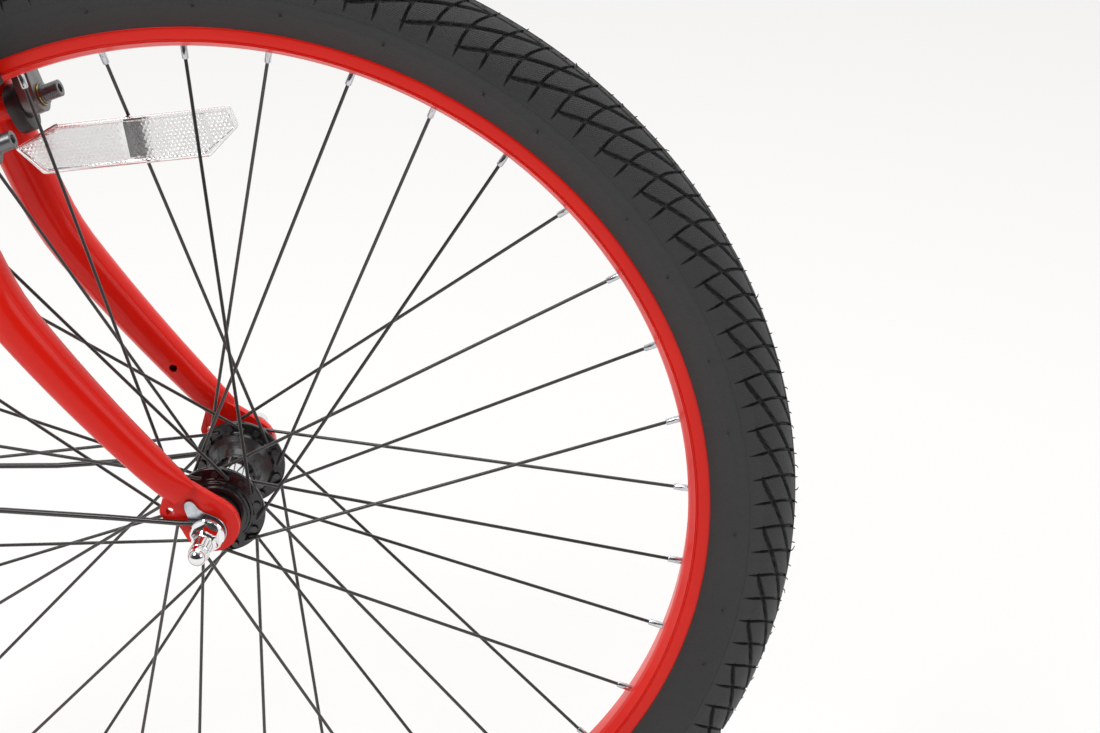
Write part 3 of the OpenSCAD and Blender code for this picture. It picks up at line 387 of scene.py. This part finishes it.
def dress(node, material, edge=0.0):
    piece = nodes[node]
    piece.data.materials.clear()
    piece.data.materials.append(material)
    weld = piece.modifiers.new("weld", "WELD")
    weld.merge_threshold = dressing["weldWithin"]
    if edge:
        flat = piece.modifiers.new("flat", "DECIMATE")
        flat.decimate_type = "DISSOLVE"
        flat.angle_limit = dressing["flatWithin"] * deg
        bevel = piece.modifiers.new("edge", "BEVEL")
        bevel.width = edge * mm
        bevel.segments = dressing["bevelSteps"]
        bevel.limit_method = "ANGLE"
        bevel.angle_limit = dressing["bevelAbove"] * deg
    smooth = piece.modifiers.new("smooth", "NODES")
    smooth.node_group = tidyEdges


plainNodes = {
    "steerer_tube": ("forkRed", 0.2), "crown_race": ("turnedSteel", 0.2), "right_blade": ("forkRed", 0),
    "left_blade": ("forkRed", 0), "right_dropout": ("forkRed", 0.8), "left_dropout": ("forkRed", 0.8),
    "right_brake_boss": ("forkRed", 0.2), "left_brake_boss": ("forkRed", 0.2), "axle": ("turnedSteel", 0.2),
    "bearing_cones": ("turnedSteel", 0.1), "axle_spacers": ("zincPlate", 0.15),
    "axle_locknuts": ("zincPlate", 0.25), "bearing_cups": ("turnedSteel", 0.1),
    "bearing_balls": ("nutChrome", 0), "ball_retainers": ("goldWasher", 0), "rim_tape": ("tubeRubber", 0),
    "inner_tube": ("tubeRubber", 0), "valve_stem": ("padRubber", 0.2), "valve_cap": ("coverPlastic", 0.4),
    "right_outer_spokes": ("wireBlack", 0), "right_inner_spokes": ("wireBlack", 0),
    "left_outer_spokes": ("wireBlack", 0), "left_inner_spokes": ("wireBlack", 0),
    "reflector_back": ("prismPlastic", 0.2), "reflector_clip": ("prismPlastic", 0.4),
    "pivot_bolts": ("armGrey", 0.45), "pivot_washers": ("goldWasher", 0.2),
    "right_brake_arm": ("armGrey", 1.1),
    "left_brake_arm": ("armGrey", 1.1), "right_spring_cover": ("coverPlastic", 1.0),
    "left_spring_cover": ("coverPlastic", 1.0), "right_return_spring": ("springSteel", 0),
    "left_return_spring": ("springSteel", 0), "right_brake_shoe": ("padRubber", 0.8),
    "left_brake_shoe": ("padRubber", 0.8), "right_shoe_stud": ("zincPlate", 0.2),
    "left_shoe_stud": ("zincPlate", 0.2),
    "right_shoe_washers": ("zincPlate", 0.4), "left_shoe_washers": ("zincPlate", 0.4),
    "right_shoe_nut": ("zincPlate", 0.35), "left_shoe_nut": ("zincPlate", 0.35),
    "cable_anchor_bolt": ("zincPlate", 0.35), "noodle_link": ("zincPlate", 0.3),
    "link_pin": ("zincPlate", 0.2), "mudguard": ("guardBlack", 0.3),
    "mudguard_bracket": ("zincPlate", 0.3), "mudguard_fasteners": ("zincPlate", 0.3),
    "right_stay": ("wireBlack", 0), "left_stay": ("wireBlack", 0), "stay_bracket": ("zincPlate", 0.3),
    "dust_caps": ("hubBlack", 0.4),
}
for nodeName, (finishName, edgeWidth) in plainNodes.items():
    dress(nodeName, made[finishName], edgeWidth)
print("CAD nodes dressed:", len(plainNodes))


# mm, and degrees of bend from the crown; grooves and hairs are counts round the tyre
tyreLook = dict(midRadius=307.5, halfWidth=26.5, grooves=126, grooveWide=2.2, grooveDeep=2.2,
                columnsPerPitch=16, shoulder=86.0, diagonalFrom=73.0, diagonalTo=10.0, diagonalPitches=4.45,
                diagonalLean=0.42, ribAt=6.5, ribWave=1.6, ribWide=0.75, ribDeep=0.85,
                ringsAt=(87.0, 90.6, 104, 120), ringHigh=0.5, widestAt=90, beadAt=136, beadIn=22.5,
                beadNarrower=0.46, hairs=252, hairsFrom=333.6, nubs=36, nubAt=299.0)


def grooveShift(bend):
    # how far round a cross groove has swept, in degrees, at a bend in degrees from the crown
    return np.interp(np.abs(bend), [0, 3, 10, 22, 32, 45, 58, 90],
                     [-1.95, -1.88, -1.6, -1.05, -0.6, -0.2, 0.0, 0.0])


def makeTyre():
    look = tyreLook
    pitch = 360 / look["grooves"]
    widest, bead = look["widestAt"], look["beadAt"]
    bends = np.concatenate([np.linspace(-bead, -widest, 14)[:-1], np.linspace(-widest, widest, 151),
                            np.linspace(widest, bead, 14)[1:]])
    columns = look["columnsPerPitch"]
    outer = look["midRadius"] + look["halfWidth"]
    # columns bunch at a groove's walls, so its edges stay crisp
    nearGroove = np.array([-0.5, -0.28, 0.28, 0.5])
    total = look["grooves"] * columns
    body = np.zeros((len(bends), total, 3))
    laid = np.zeros((len(bends), total, 2))
    for row, bend in enumerate(bends):
        side = np.sign(bend) if bend else 1.0
        size = abs(bend)
        taper = np.clip((look["shoulder"] - size) / 14, 0, 1)
        if size < 4:
            taper *= 0.6
        wide = (0.35 + 0.65 * taper) * look["grooveWide"] / outer / deg
        grooveColumns = nearGroove * wide
        rest = np.linspace(wide * 0.5, pitch - wide * 0.5, columns - len(nearGroove) + 2)[1:-1]
        within = np.concatenate([grooveColumns, rest])
        angles = (np.arange(look["grooves"])[:, None] * pitch + within[None, :]).ravel()
        depth = np.tile(np.concatenate([[0, 1, 1, 0], np.zeros(len(rest))]), look["grooves"]) * taper
        offset = 0.0 if side < 0 else pitch * 0.5
        # diagonal grooves: one to every second cross groove, measured across their own line
        span = (look["diagonalFrom"] - size) / (look["diagonalFrom"] - look["diagonalTo"])
        if 0 <= span <= 1:
            centre = -span * look["diagonalPitches"] * pitch
            away = (angles + grooveShift(bend) - centre) % (2 * pitch)
            away = np.minimum(away, 2 * pitch - away) * deg * outer * look["diagonalLean"]
            wall = np.clip((look["grooveWide"] * 0.5 - away) / 0.35 + 0.5, 0, 1)
            ends = min(1, span / 0.05 + 0.15, (1 - span) / 0.02 + 0.3)
            depth = np.maximum(depth, wall * ends)
        # the waved groove either side of the crown's rib
        wave = look["ribWave"] * np.abs(((angles / pitch) % 1) - 0.5) * 2
        ribAway = abs(size - look["ribAt"] - wave) * deg * look["halfWidth"]
        depth = np.maximum(depth, np.clip((look["ribWide"] - ribAway) / 0.3 + 0.5, 0, 1) * look["ribDeep"])
        # raised rings on the sidewall
        ring = sum(look["ringHigh"] * math.exp(-((size - at) / 0.8) ** 2) for at in look["ringsAt"])
        section = look["halfWidth"] - depth * look["grooveDeep"] + ring
        turn = (angles + offset + grooveShift(bend)) * deg
        radius = look["midRadius"] + section * math.cos(bend * deg)
        if size > widest:
            # below the widest line the wall runs straighter to the rim
            fall = (size - widest) / (bead - widest)
            radius = np.full(total, look["midRadius"] - look["beadIn"] * fall)
            width = section * (1 - look["beadNarrower"] * fall ** 1.5)
        else:
            width = section * math.sin(size * deg)
        body[row, :, 0] = axleAt[0] + radius * np.cos(turn) * mm
        body[row, :, 1] = axleAt[1] + side * width * mm
        body[row, :, 2] = axleAt[2] + radius * np.sin(turn) * mm
        laid[row, :, 0] = angles * deg * outer
        laid[row, :, 1] = bend * deg * look["halfWidth"]
    faces = gridFaces(len(bends), total, False, True, flip=True)
    return makePiece("tyreCarcass", body.reshape(-1, 3), faces, treadRubber, "wheel",
                     ["tyre"], sharp=50, uvs=laid.reshape(-1, 2))


tyrePiece = makeTyre()


def makeTyreHairs():
    # moulding hairs on the crown, and vent nubs on the sidewalls
    look = tyreLook
    rng = np.random.default_rng(7)
    foot = look["hairsFrom"]
    parts = []
    for i in range(look["hairs"]):
        angle = 360 * (i + 0.5) / look["hairs"] + rng.normal(0, 0.1)
        side = rng.choice([-1, 1]) * rng.uniform(0.2, 1.4)
        lean = rng.normal(0, 0.25)
        long = rng.uniform(0.7, 2.0)
        path = [wheelPoint(foot, angle, side), wheelPoint(foot + 0.4 + long * 0.5, angle + lean * 0.3, side),
                wheelPoint(foot + 0.4 + long, angle + lean, side)]
        parts.append(tubeMesh(path, [0.00045, 0.00035, 0.0002], 5))
    for i in range(look["nubs"]):
        for side in (-1, 1):
            angle = 360 / look["nubs"] * i + rng.uniform(-2, 2)
            path = [wheelPoint(look["nubAt"], angle, side * 24.3),
                    wheelPoint(look["nubAt"] + 0.3, angle + 0.2, side * 26.4)]
            parts.append(tubeMesh(path, [0.0006, 0.0004], 6))
    verts, faces = joined(parts)
    return makePiece("tyreHairs", verts, faces, treadRubber, "wheel")


makeTyreHairs()
print("tyre built:", len(tyrePiece.data.polygons), "faces")

rimLook = dict(inner=272.0, outer=285.5, halfWidth=14.9, footHalf=9.5, lineAt=277.4, well=275.5)


def makeRim():
    look = rimLook
    h, ro, ri = look["halfWidth"], look["outer"], look["inner"]
    line, well = look["lineAt"], look["well"]
    # half of the rim's section, with the fine double line on its flank
    half = [(ri, 0.0), (ri, look["footHalf"] - 3), (ri + 1.2, look["footHalf"]), (ri + 4.2, h - 1.0),
            (line - 0.75, h - 0.1), (line - 0.60, h - 0.5), (line - 0.25, h - 0.5), (line - 0.1, h + 0.05),
            (line + 0.25, h + 0.05), (line + 0.4, h - 0.45), (line + 0.75, h - 0.45), (line + 0.9, h),
            (ro - 1.4, h), (ro - 0.5, h - 0.35), (ro, h - 1.1), (ro - 0.2, h - 2.0), (ro - 2.0, h - 2.4),
            (well + 4.0, h - 2.6), (well + 3.1, h - 6.6), (well, h - 7.6), (well, 0.0)]
    outline = half + [(r, -y) for r, y in half[::-1][1:-1]]
    outline = roundedOutline(outline, 0.18, 2)
    verts, faces = turnedMesh(outline, 360)
    return makePiece("rimHoop", verts, faces, made["rimRed"], "wheel", ["rim"], sharp=60)


makeRim()

lacing = dict(spokes=36, firstAt=112, cross=60, holeRadius=23.6, outerLay=34.2, innerLay=27.1,
              rimRadius=274.9, rimSide=1.0)
nippleLook = dict(radius=1.98, across=3.5, length=9.6, tip=1.55)


def spokeAngles(k):
    # the side of the hub, the angle at the rim and the lean to the hub's hole
    side = -1 if k % 2 == 0 else 1
    lean = (1 if (k // 2) % 2 == 0 else -1) * -side * lacing["cross"]
    return side, lacing["firstAt"] - 360 / lacing["spokes"] * k, lean


def spokeEnds(k):
    side, angle, lean = spokeAngles(k)
    lay = lacing["outerLay"] if side * lean > 0 else lacing["innerLay"]
    return (wheelPoint(lacing["holeRadius"], angle + lean, side * lay),
            wheelPoint(lacing["rimRadius"], angle, side * lacing["rimSide"]))


def makeNipples():
    look = nippleLook
    sides = 24
    neck = look["length"] + 1.4
    # reach along the spoke, share of the radius, and whether the row is squared
    rows = [(-1.0, 1.0, True), (3.4, 1.0, True), (6.6, 1.0, True), (6.9, 0.97, False), (neck, 0.95, False),
            (neck + 0.6, look["tip"] / look["radius"], False), (neck + 0.7, 0.58, False)]
    parts = []
    for k in range(lacing["spokes"]):
        hub, rim = spokeEnds(k)
        along = (hub - rim) / np.linalg.norm(hub - rim)
        one = np.cross(along, (0, 1, 0))
        one = one / np.linalg.norm(one)
        two = np.cross(along, one)
        verts = []
        for reach, share, squared in rows:
            for s in range(sides):
                a = 2 * math.pi * s / sides
                r = look["radius"] * share
                if squared:
                    quarter = (a + math.pi / 4) % (math.pi / 2) - math.pi / 4
                    r = min(r, look["across"] / 2 / math.cos(quarter))
                verts.append(rim + along * reach * mm + (one * math.cos(a) + two * math.sin(a)) * r * mm)
        faces = gridFaces(len(rows), sides, False, True)
        faces.append(tuple(range(sides))[::-1])
        faces.append(tuple((len(rows) - 1) * sides + s for s in range(sides)))
        parts.append((verts, faces))
    verts, faces = joined(parts)
    return makePiece("spokeNipples", verts, faces, made["nippleSilver"], "wheel",
                     ["nipples"], sharp=30)


makeNipples()
print("rim and nipples built")

hubLook = dict(flangeIn=28.2, flangeOut=31.4, flangeRadius=27.3, barrel=13.0, barrelEnd=12.0, shoulder=17.6,
               shoulderEnd=36.5, bore=12.0)


def makeHub():
    look = hubLook
    fi, fo, fr, sh = look["flangeIn"], look["flangeOut"], look["flangeRadius"], look["shoulder"]
    end, bore, foot = look["shoulderEnd"], look["bore"], look["barrelEnd"] - 0.5
    # one black flange with its dished inner face and stepped outer shoulder
    half = [(13.1, foot), (13.5, 14.5), (14.8, 18.5), (17.2, 22.5), (20.0, 25.6), (20.6, 27.0),
            (21.4, fi - 0.3), (fr - 0.6, fi), (fr, fi + 0.6), (fr, fo - 0.6), (fr - 0.6, fo), (sh + 3.4, fo),
            (sh + 2.9, fo + 0.5), (sh + 1.9, fo + 0.5), (sh + 1.5, fo + 1.0), (sh + 1.3, fo + 2.2),
            (sh, fo + 2.4), (sh - 0.1, fo + 3.4), (sh - 0.6, fo + 3.6), (sh - 0.6, fo + 4.2), (sh, fo + 4.4),
            (sh - 0.2, end - 0.1), (sh - 2.2, end), (bore + 2.2, end), (bore, end - 4), (bore, foot)]
    parts = []
    for side in (-1, 1):
        outline = [(r, side * y) for r, y in half]
        verts, faces = turnedMesh(roundedOutline(outline, 0.3, 2), 144)
        parts.append((verts, [f[::-1] for f in faces] if side > 0 else faces))
    # collars round the spoke holes
    count = 20
    for k in range(lacing["spokes"]):
        side, angle, lean = spokeAngles(k)
        for face, out in ((fi, -1), (fo, 1)):
            centre = wheelPoint(lacing["holeRadius"], angle + lean, side * (face + out * 0.02))
            ringVerts = []
            for wide, rise in ((1.1, -0.15), (1.3, 0.06), (1.5, 0.07), (1.7, -0.05)):
                for s in range(count):
                    a = 2 * math.pi * s / count
                    step = (wide * math.cos(a), side * out * rise, wide * math.sin(a))
                    ringVerts.append(centre + np.array(step) * mm)
            parts.append((ringVerts, gridFaces(4, count, False, True, flip=side * out > 0)))
    verts, faces = joined(parts)
    return makePiece("hubFlanges", verts, faces, made["hubBlack"], "wheel",
                     ["hub_shell"], sharp=40)


def makeBarrel():
    # the bright tube between the flanges
    outer, end = hubLook["barrel"], hubLook["barrelEnd"]
    inner = outer - 2
    outline = [(outer, y) for y in (-end, -end / 2, 0, end / 2, end)] + [(inner, end), (inner, -end)]
    verts, faces = turnedMesh(outline, 128)
    return makePiece("hubBarrel", verts, faces, made["nutChrome"], "wheel", sharp=50)


makeHub()
makeBarrel()

nutLook = dict(across=14.3, corner=8.35, flange=10.1, flangeFrom=60.0, flangeTo=62.2, hexTo=71.0, cap=5.6,
               beadFrom=9.8, beadHigh=0.5, domeFrom=14.6, end=91.4, steps=72)


def makeCapNut(side, name, node):
    look = nutLook
    steps = look["steps"]
    low, top, flange = look["flangeFrom"], look["flangeTo"], look["flange"]
    lip, cap, corner = look["hexTo"], look["cap"], look["corner"]
    bead = lip + look["beadFrom"]
    # distance out, radius, and whether the row has six sides
    rows = [(low, 4.2, False), (low, flange - 0.3, False), (low + 0.3, flange, False),
            (top - 0.9, flange, False), (top - 0.2, flange - 0.6, False), (top + 0.2, corner + 0.25, True),
            (top + 0.9, corner, True), (lip - 1.6, corner, True), (lip - 0.9, corner - 0.35, True),
            (lip - 0.1, corner - 1.35, True), (lip + 0.3, cap + 0.7, False), (lip + 0.9, cap + 0.1, False),
            (lip + 1.6, cap, False)]
    for out, share in ((0, 0), (0.4, 0.7), (1.2, 1), (2.0, 0.7), (2.4, 0)):
        rows.append((bead + out, cap + share * look["beadHigh"], False))
    domeFrom = lip + look["domeFrom"]
    for i in range(10):
        a = i * 10 * deg
        rows.append((domeFrom + (look["end"] - domeFrom) * math.sin(a), cap * math.cos(a), False))
    verts = []
    for y, radius, hexed in rows:
        for s in range(steps):
            a = 2 * math.pi * s / steps
            r = radius
            if hexed:
                sixth = (a + math.pi / 6) % (math.pi / 3) - math.pi / 6
                r = min(radius, look["across"] / 2 / math.cos(sixth))
            verts.append(axleAt + np.array((r * math.cos(a), side * y, r * math.sin(a))) * mm)
    faces = gridFaces(len(rows), steps, False, True, flip=side < 0)
    return makePiece(name, verts, faces, made["nutChrome"], "fork", [node], sharp=24)


makeCapNut(-1, "rightCapNut", "right_axle_nut")
makeCapNut(1, "leftCapNut", "left_axle_nut")
print("hub and nuts built")

reflectorLook = dict(length=129.0, height=28.0, slant=13.0, tilt=8.0, onSpoke=1, alongSpoke=0.785, shift=-4.0,
                     cell=2.5, edge=2.2, gap=3.0, front=-2.4, thick=3.0, corner=1.6)


def reflectorPoint(u, v, y):
    # u along the reflector, v up it and y out of the wheel, in mm
    look = reflectorLook
    hub, rim = spokeEnds(look["onSpoke"])
    middle = hub * (1 - look["alongSpoke"]) + rim * look["alongSpoke"]
    tilt = look["tilt"] * deg
    x = u * math.cos(tilt) - v * math.sin(tilt)
    z = u * math.sin(tilt) + v * math.cos(tilt)
    return np.array((middle[0] + (look["shift"] + x) * mm, axleAt[1] + y * mm, middle[2] + z * mm))


def reflectorOutline(inset):
    look = reflectorLook
    w, h, s = look["length"] / 2 - inset, look["height"] / 2 - inset, look["slant"]
    return [(-w, h * 0.2), (-w + s, -h), (w - s - 6, -h), (w, h * 0.1), (w - 2, h), (-w + s * 2, h)]


def makeReflector():
    look = reflectorLook
    front, back = look["front"], look["front"] + look["thick"]
    # a raised border round a sunk field
    loops = [(2.9, front + 1.2), (2.5, front + 0.2), (2.1, front), (1.0, front), (0.25, front + 0.5),
             (0.0, front + 1.0), (0.0, back), (0.4, back)]
    verts = []
    for inset, y in loops:
        outline = roundedOutline(reflectorOutline(inset), look["corner"], 3)
        verts += [reflectorPoint(u, v, y) for u, v in outline]
    count = len(outline)
    faces = gridFaces(len(loops), count, False, True)
    faces.append(tuple(range(count))[::-1])
    faces.append(tuple((len(loops) - 1) * count + i for i in range(count)))
    makePiece("reflectorLens", verts, faces, made["clearPlastic"], "wheel",
              ["reflector_lens"], sharp=30)
    # rows of three-sided pits moulded into the lens
    inner = np.array(reflectorOutline(look["edge"] + 0.6))
    cell = look["cell"]
    cellVerts, cellFaces = [], []

    def inside(u, v):
        for i in range(len(inner)):
            a, b = inner[i - 1], inner[i]
            if (b[0] - a[0]) * (v - a[1]) - (b[1] - a[1]) * (u - a[0]) < cell * 0.5:
                return False
        return True

    for row in range(-9, 10):
        for column in range(-40, 41):
            u = column * cell + (row % 2) * cell / 2
            v = row * cell * 0.866
            if abs(u) < look["gap"] or not inside(u, v):
                continue
            start = len(cellVerts)
            for k in range(6):
                turn = (30 + 60 * k) * deg
                a, b = u + cell * 0.54 * math.cos(turn), v + cell * 0.54 * math.sin(turn)
                cellVerts.append(reflectorPoint(a, b, front + (0.7 if k % 2 else 0.05)))
            cellVerts.append(reflectorPoint(u, v, front + 0.95))
            cellFaces += [(start + k, start + (k + 1) % 6, start + 6) for k in range(6)]
    return makePiece("reflectorCells", cellVerts, cellFaces, made["prismPlastic"], "wheel",
                     sharp=5)


makeReflector()
print("reflector built")

# a broad plate whose hook sits in the dropout's upper eye
tabLook = dict(disc=10.2, low=55.2, high=56.6, hook=2.1, hookAt=(-10.8, 16.0), hookFrom=50.8)


def makeTabWasher(side, name, node):
    look = tabLook
    disc = [(look["disc"] * math.cos(a * deg), look["disc"] * math.sin(a * deg)) for a in range(-206, 75, 8)]
    tab = [(1.2, 10.6), (-2.6, 12.0), (-5.4, 14.2), (-7.4, 17.2), (-9.0, 18.6), (-11.6, 18.9), (-13.4, 17.2),
           (-13.6, 14.4), (-12.8, 11.0), (-11.6, 7.6)]
    outline = roundedOutline(disc + tab, 0.9, 2)
    count = len(outline)
    layers = [(0.25, look["low"]), (0.0, look["low"] + 0.25), (0.0, look["high"] - 0.3), (0.3, look["high"])]
    middle = np.mean(outline, axis=0)
    verts = []
    for inset, y in layers:
        for p in outline:
            inward = (middle - p) / np.linalg.norm(middle - p)
            x, z = p + inward * inset
            verts.append(axleAt + np.array((x, side * y, z)) * mm)
    faces = gridFaces(len(layers), count, False, True, flip=side < 0)
    faces.append(tuple(range(count)))
    faces.append(tuple((len(layers) - 1) * count + i for i in range(count))[::-1])
    x, z = look["hookAt"]
    reach = (look["hookFrom"], look["hookFrom"] + 0.6, look["low"] + 0.2)
    hook = tubeMesh([axleAt + np.array((x, side * y, z)) * mm for y in reach],
                    [look["hook"] * share * mm for share in (0.8, 1, 1)], 20)
    verts, faces = joined([(verts, faces), hook])
    return makePiece(name, verts, faces, made["zincPlate"], "fork", [node], sharp=30)


makeTabWasher(-1, "rightTabPlate", "right_tab_washer")
makeTabWasher(1, "leftTabPlate", "left_tab_washer")
print("tab washers built")

studio = dict(cameraAt=(0.486127, -1.175959, 0.281003), right=(0.996189, 0.087215, 0.0),
              up=(-0.036701, 0.419206, 0.907149), lens=74.48, floorSize=14.0, floorBelow=0.3345,
              floorColour=(0.46, 0.458, 0.453), floorGlow=0.50, airColour=(1.0, 0.995, 0.985), dim=0.05,
              bright=0.98)
# name, place, aim, watts and width of each soft box
softBoxes = (("keyBox", (-0.9, -1.5, 1.9), (0.15, 0, -0.3), 32, 1.2),
             ("topBox", (0.3, 0.5, 2.0), (0.15, 0, -0.3), 20, 1.6),
             ("sideBox", (2.0, -0.9, 0.6), (0.2, 0, -0.3), 5, 0.9))


def makeStudio():
    floorHeight = axleAt[2] - studio["floorBelow"]
    size = studio["floorSize"] / 2
    corners = [(x * size, y * size, floorHeight) for x, y in ((-1, -1), (1, -1), (1, 1), (-1, 1))]
    mesh = bpy.data.meshes.new("studioFloor")
    mesh.from_pydata(corners, [], [(0, 1, 2, 3)])
    floor = bpy.data.objects.new("studioFloor", mesh)
    bpy.context.scene.collection.objects.link(floor)
    pale = bpy.data.materials.new("paleFloor")
    pale.use_nodes = True
    shader = pale.node_tree.nodes["Principled BSDF"]
    shader.inputs["Base Color"].default_value = (*studio["floorColour"], 1)
    shader.inputs["Roughness"].default_value = 0.9
    shader.inputs["Emission Color"].default_value = (*studio["airColour"], 1)
    shader.inputs["Emission Strength"].default_value = studio["floorGlow"]
    mesh.materials.append(pale)
    world = bpy.data.worlds.new("studioAir")
    world.use_nodes = True
    # a bright room behind and above, and a dim one in front, so that metal has something dark to show
    tree = world.node_tree
    place = tree.nodes.new("ShaderNodeTexCoord")
    split = tree.nodes.new("ShaderNodeSeparateXYZ")
    ramp = tree.nodes.new("ShaderNodeMapRange")
    ramp.interpolation_type = "SMOOTHSTEP"
    for label, value in (("From Min", -0.75), ("From Max", 0.35), ("To Min", studio["dim"]),
                         ("To Max", studio["bright"])):
        ramp.inputs[label].default_value = value
    tree.links.new(place.outputs["Generated"], split.inputs[0])
    tree.links.new(split.outputs["Y"], ramp.inputs["Value"])
    tree.links.new(ramp.outputs["Result"], tree.nodes["Background"].inputs["Strength"])
    tree.nodes["Background"].inputs["Color"].default_value = (*studio["airColour"], 1)
    bpy.context.scene.world = world
    for name, spot, target, power, width in softBoxes:
        light = bpy.data.lights.new(name, "AREA")
        light.energy = power
        light.size = width
        lamp = bpy.data.objects.new(name, light)
        lamp.location = spot
        lamp.rotation_euler = (Vector(target) - Vector(spot)).to_track_quat("-Z", "Y").to_euler()
        bpy.context.scene.collection.objects.link(lamp)


def makeCamera():
    right, up = Vector(studio["right"]), Vector(studio["up"])
    back = right.cross(up)
    view = bpy.data.cameras.new("studioCamera")
    view.lens = studio["lens"]
    view.sensor_width = 36
    view.clip_end = 50
    camera = bpy.data.objects.new("studioCamera", view)
    turned = Matrix((right, up, back)).transposed().to_4x4()
    camera.matrix_world = Matrix.Translation(studio["cameraAt"]) @ turned
    bpy.context.scene.collection.objects.link(camera)
    bpy.context.scene.camera = camera


makeStudio()
makeCamera()
bpy.context.scene.view_settings.view_transform = "Standard"
print("studio set")
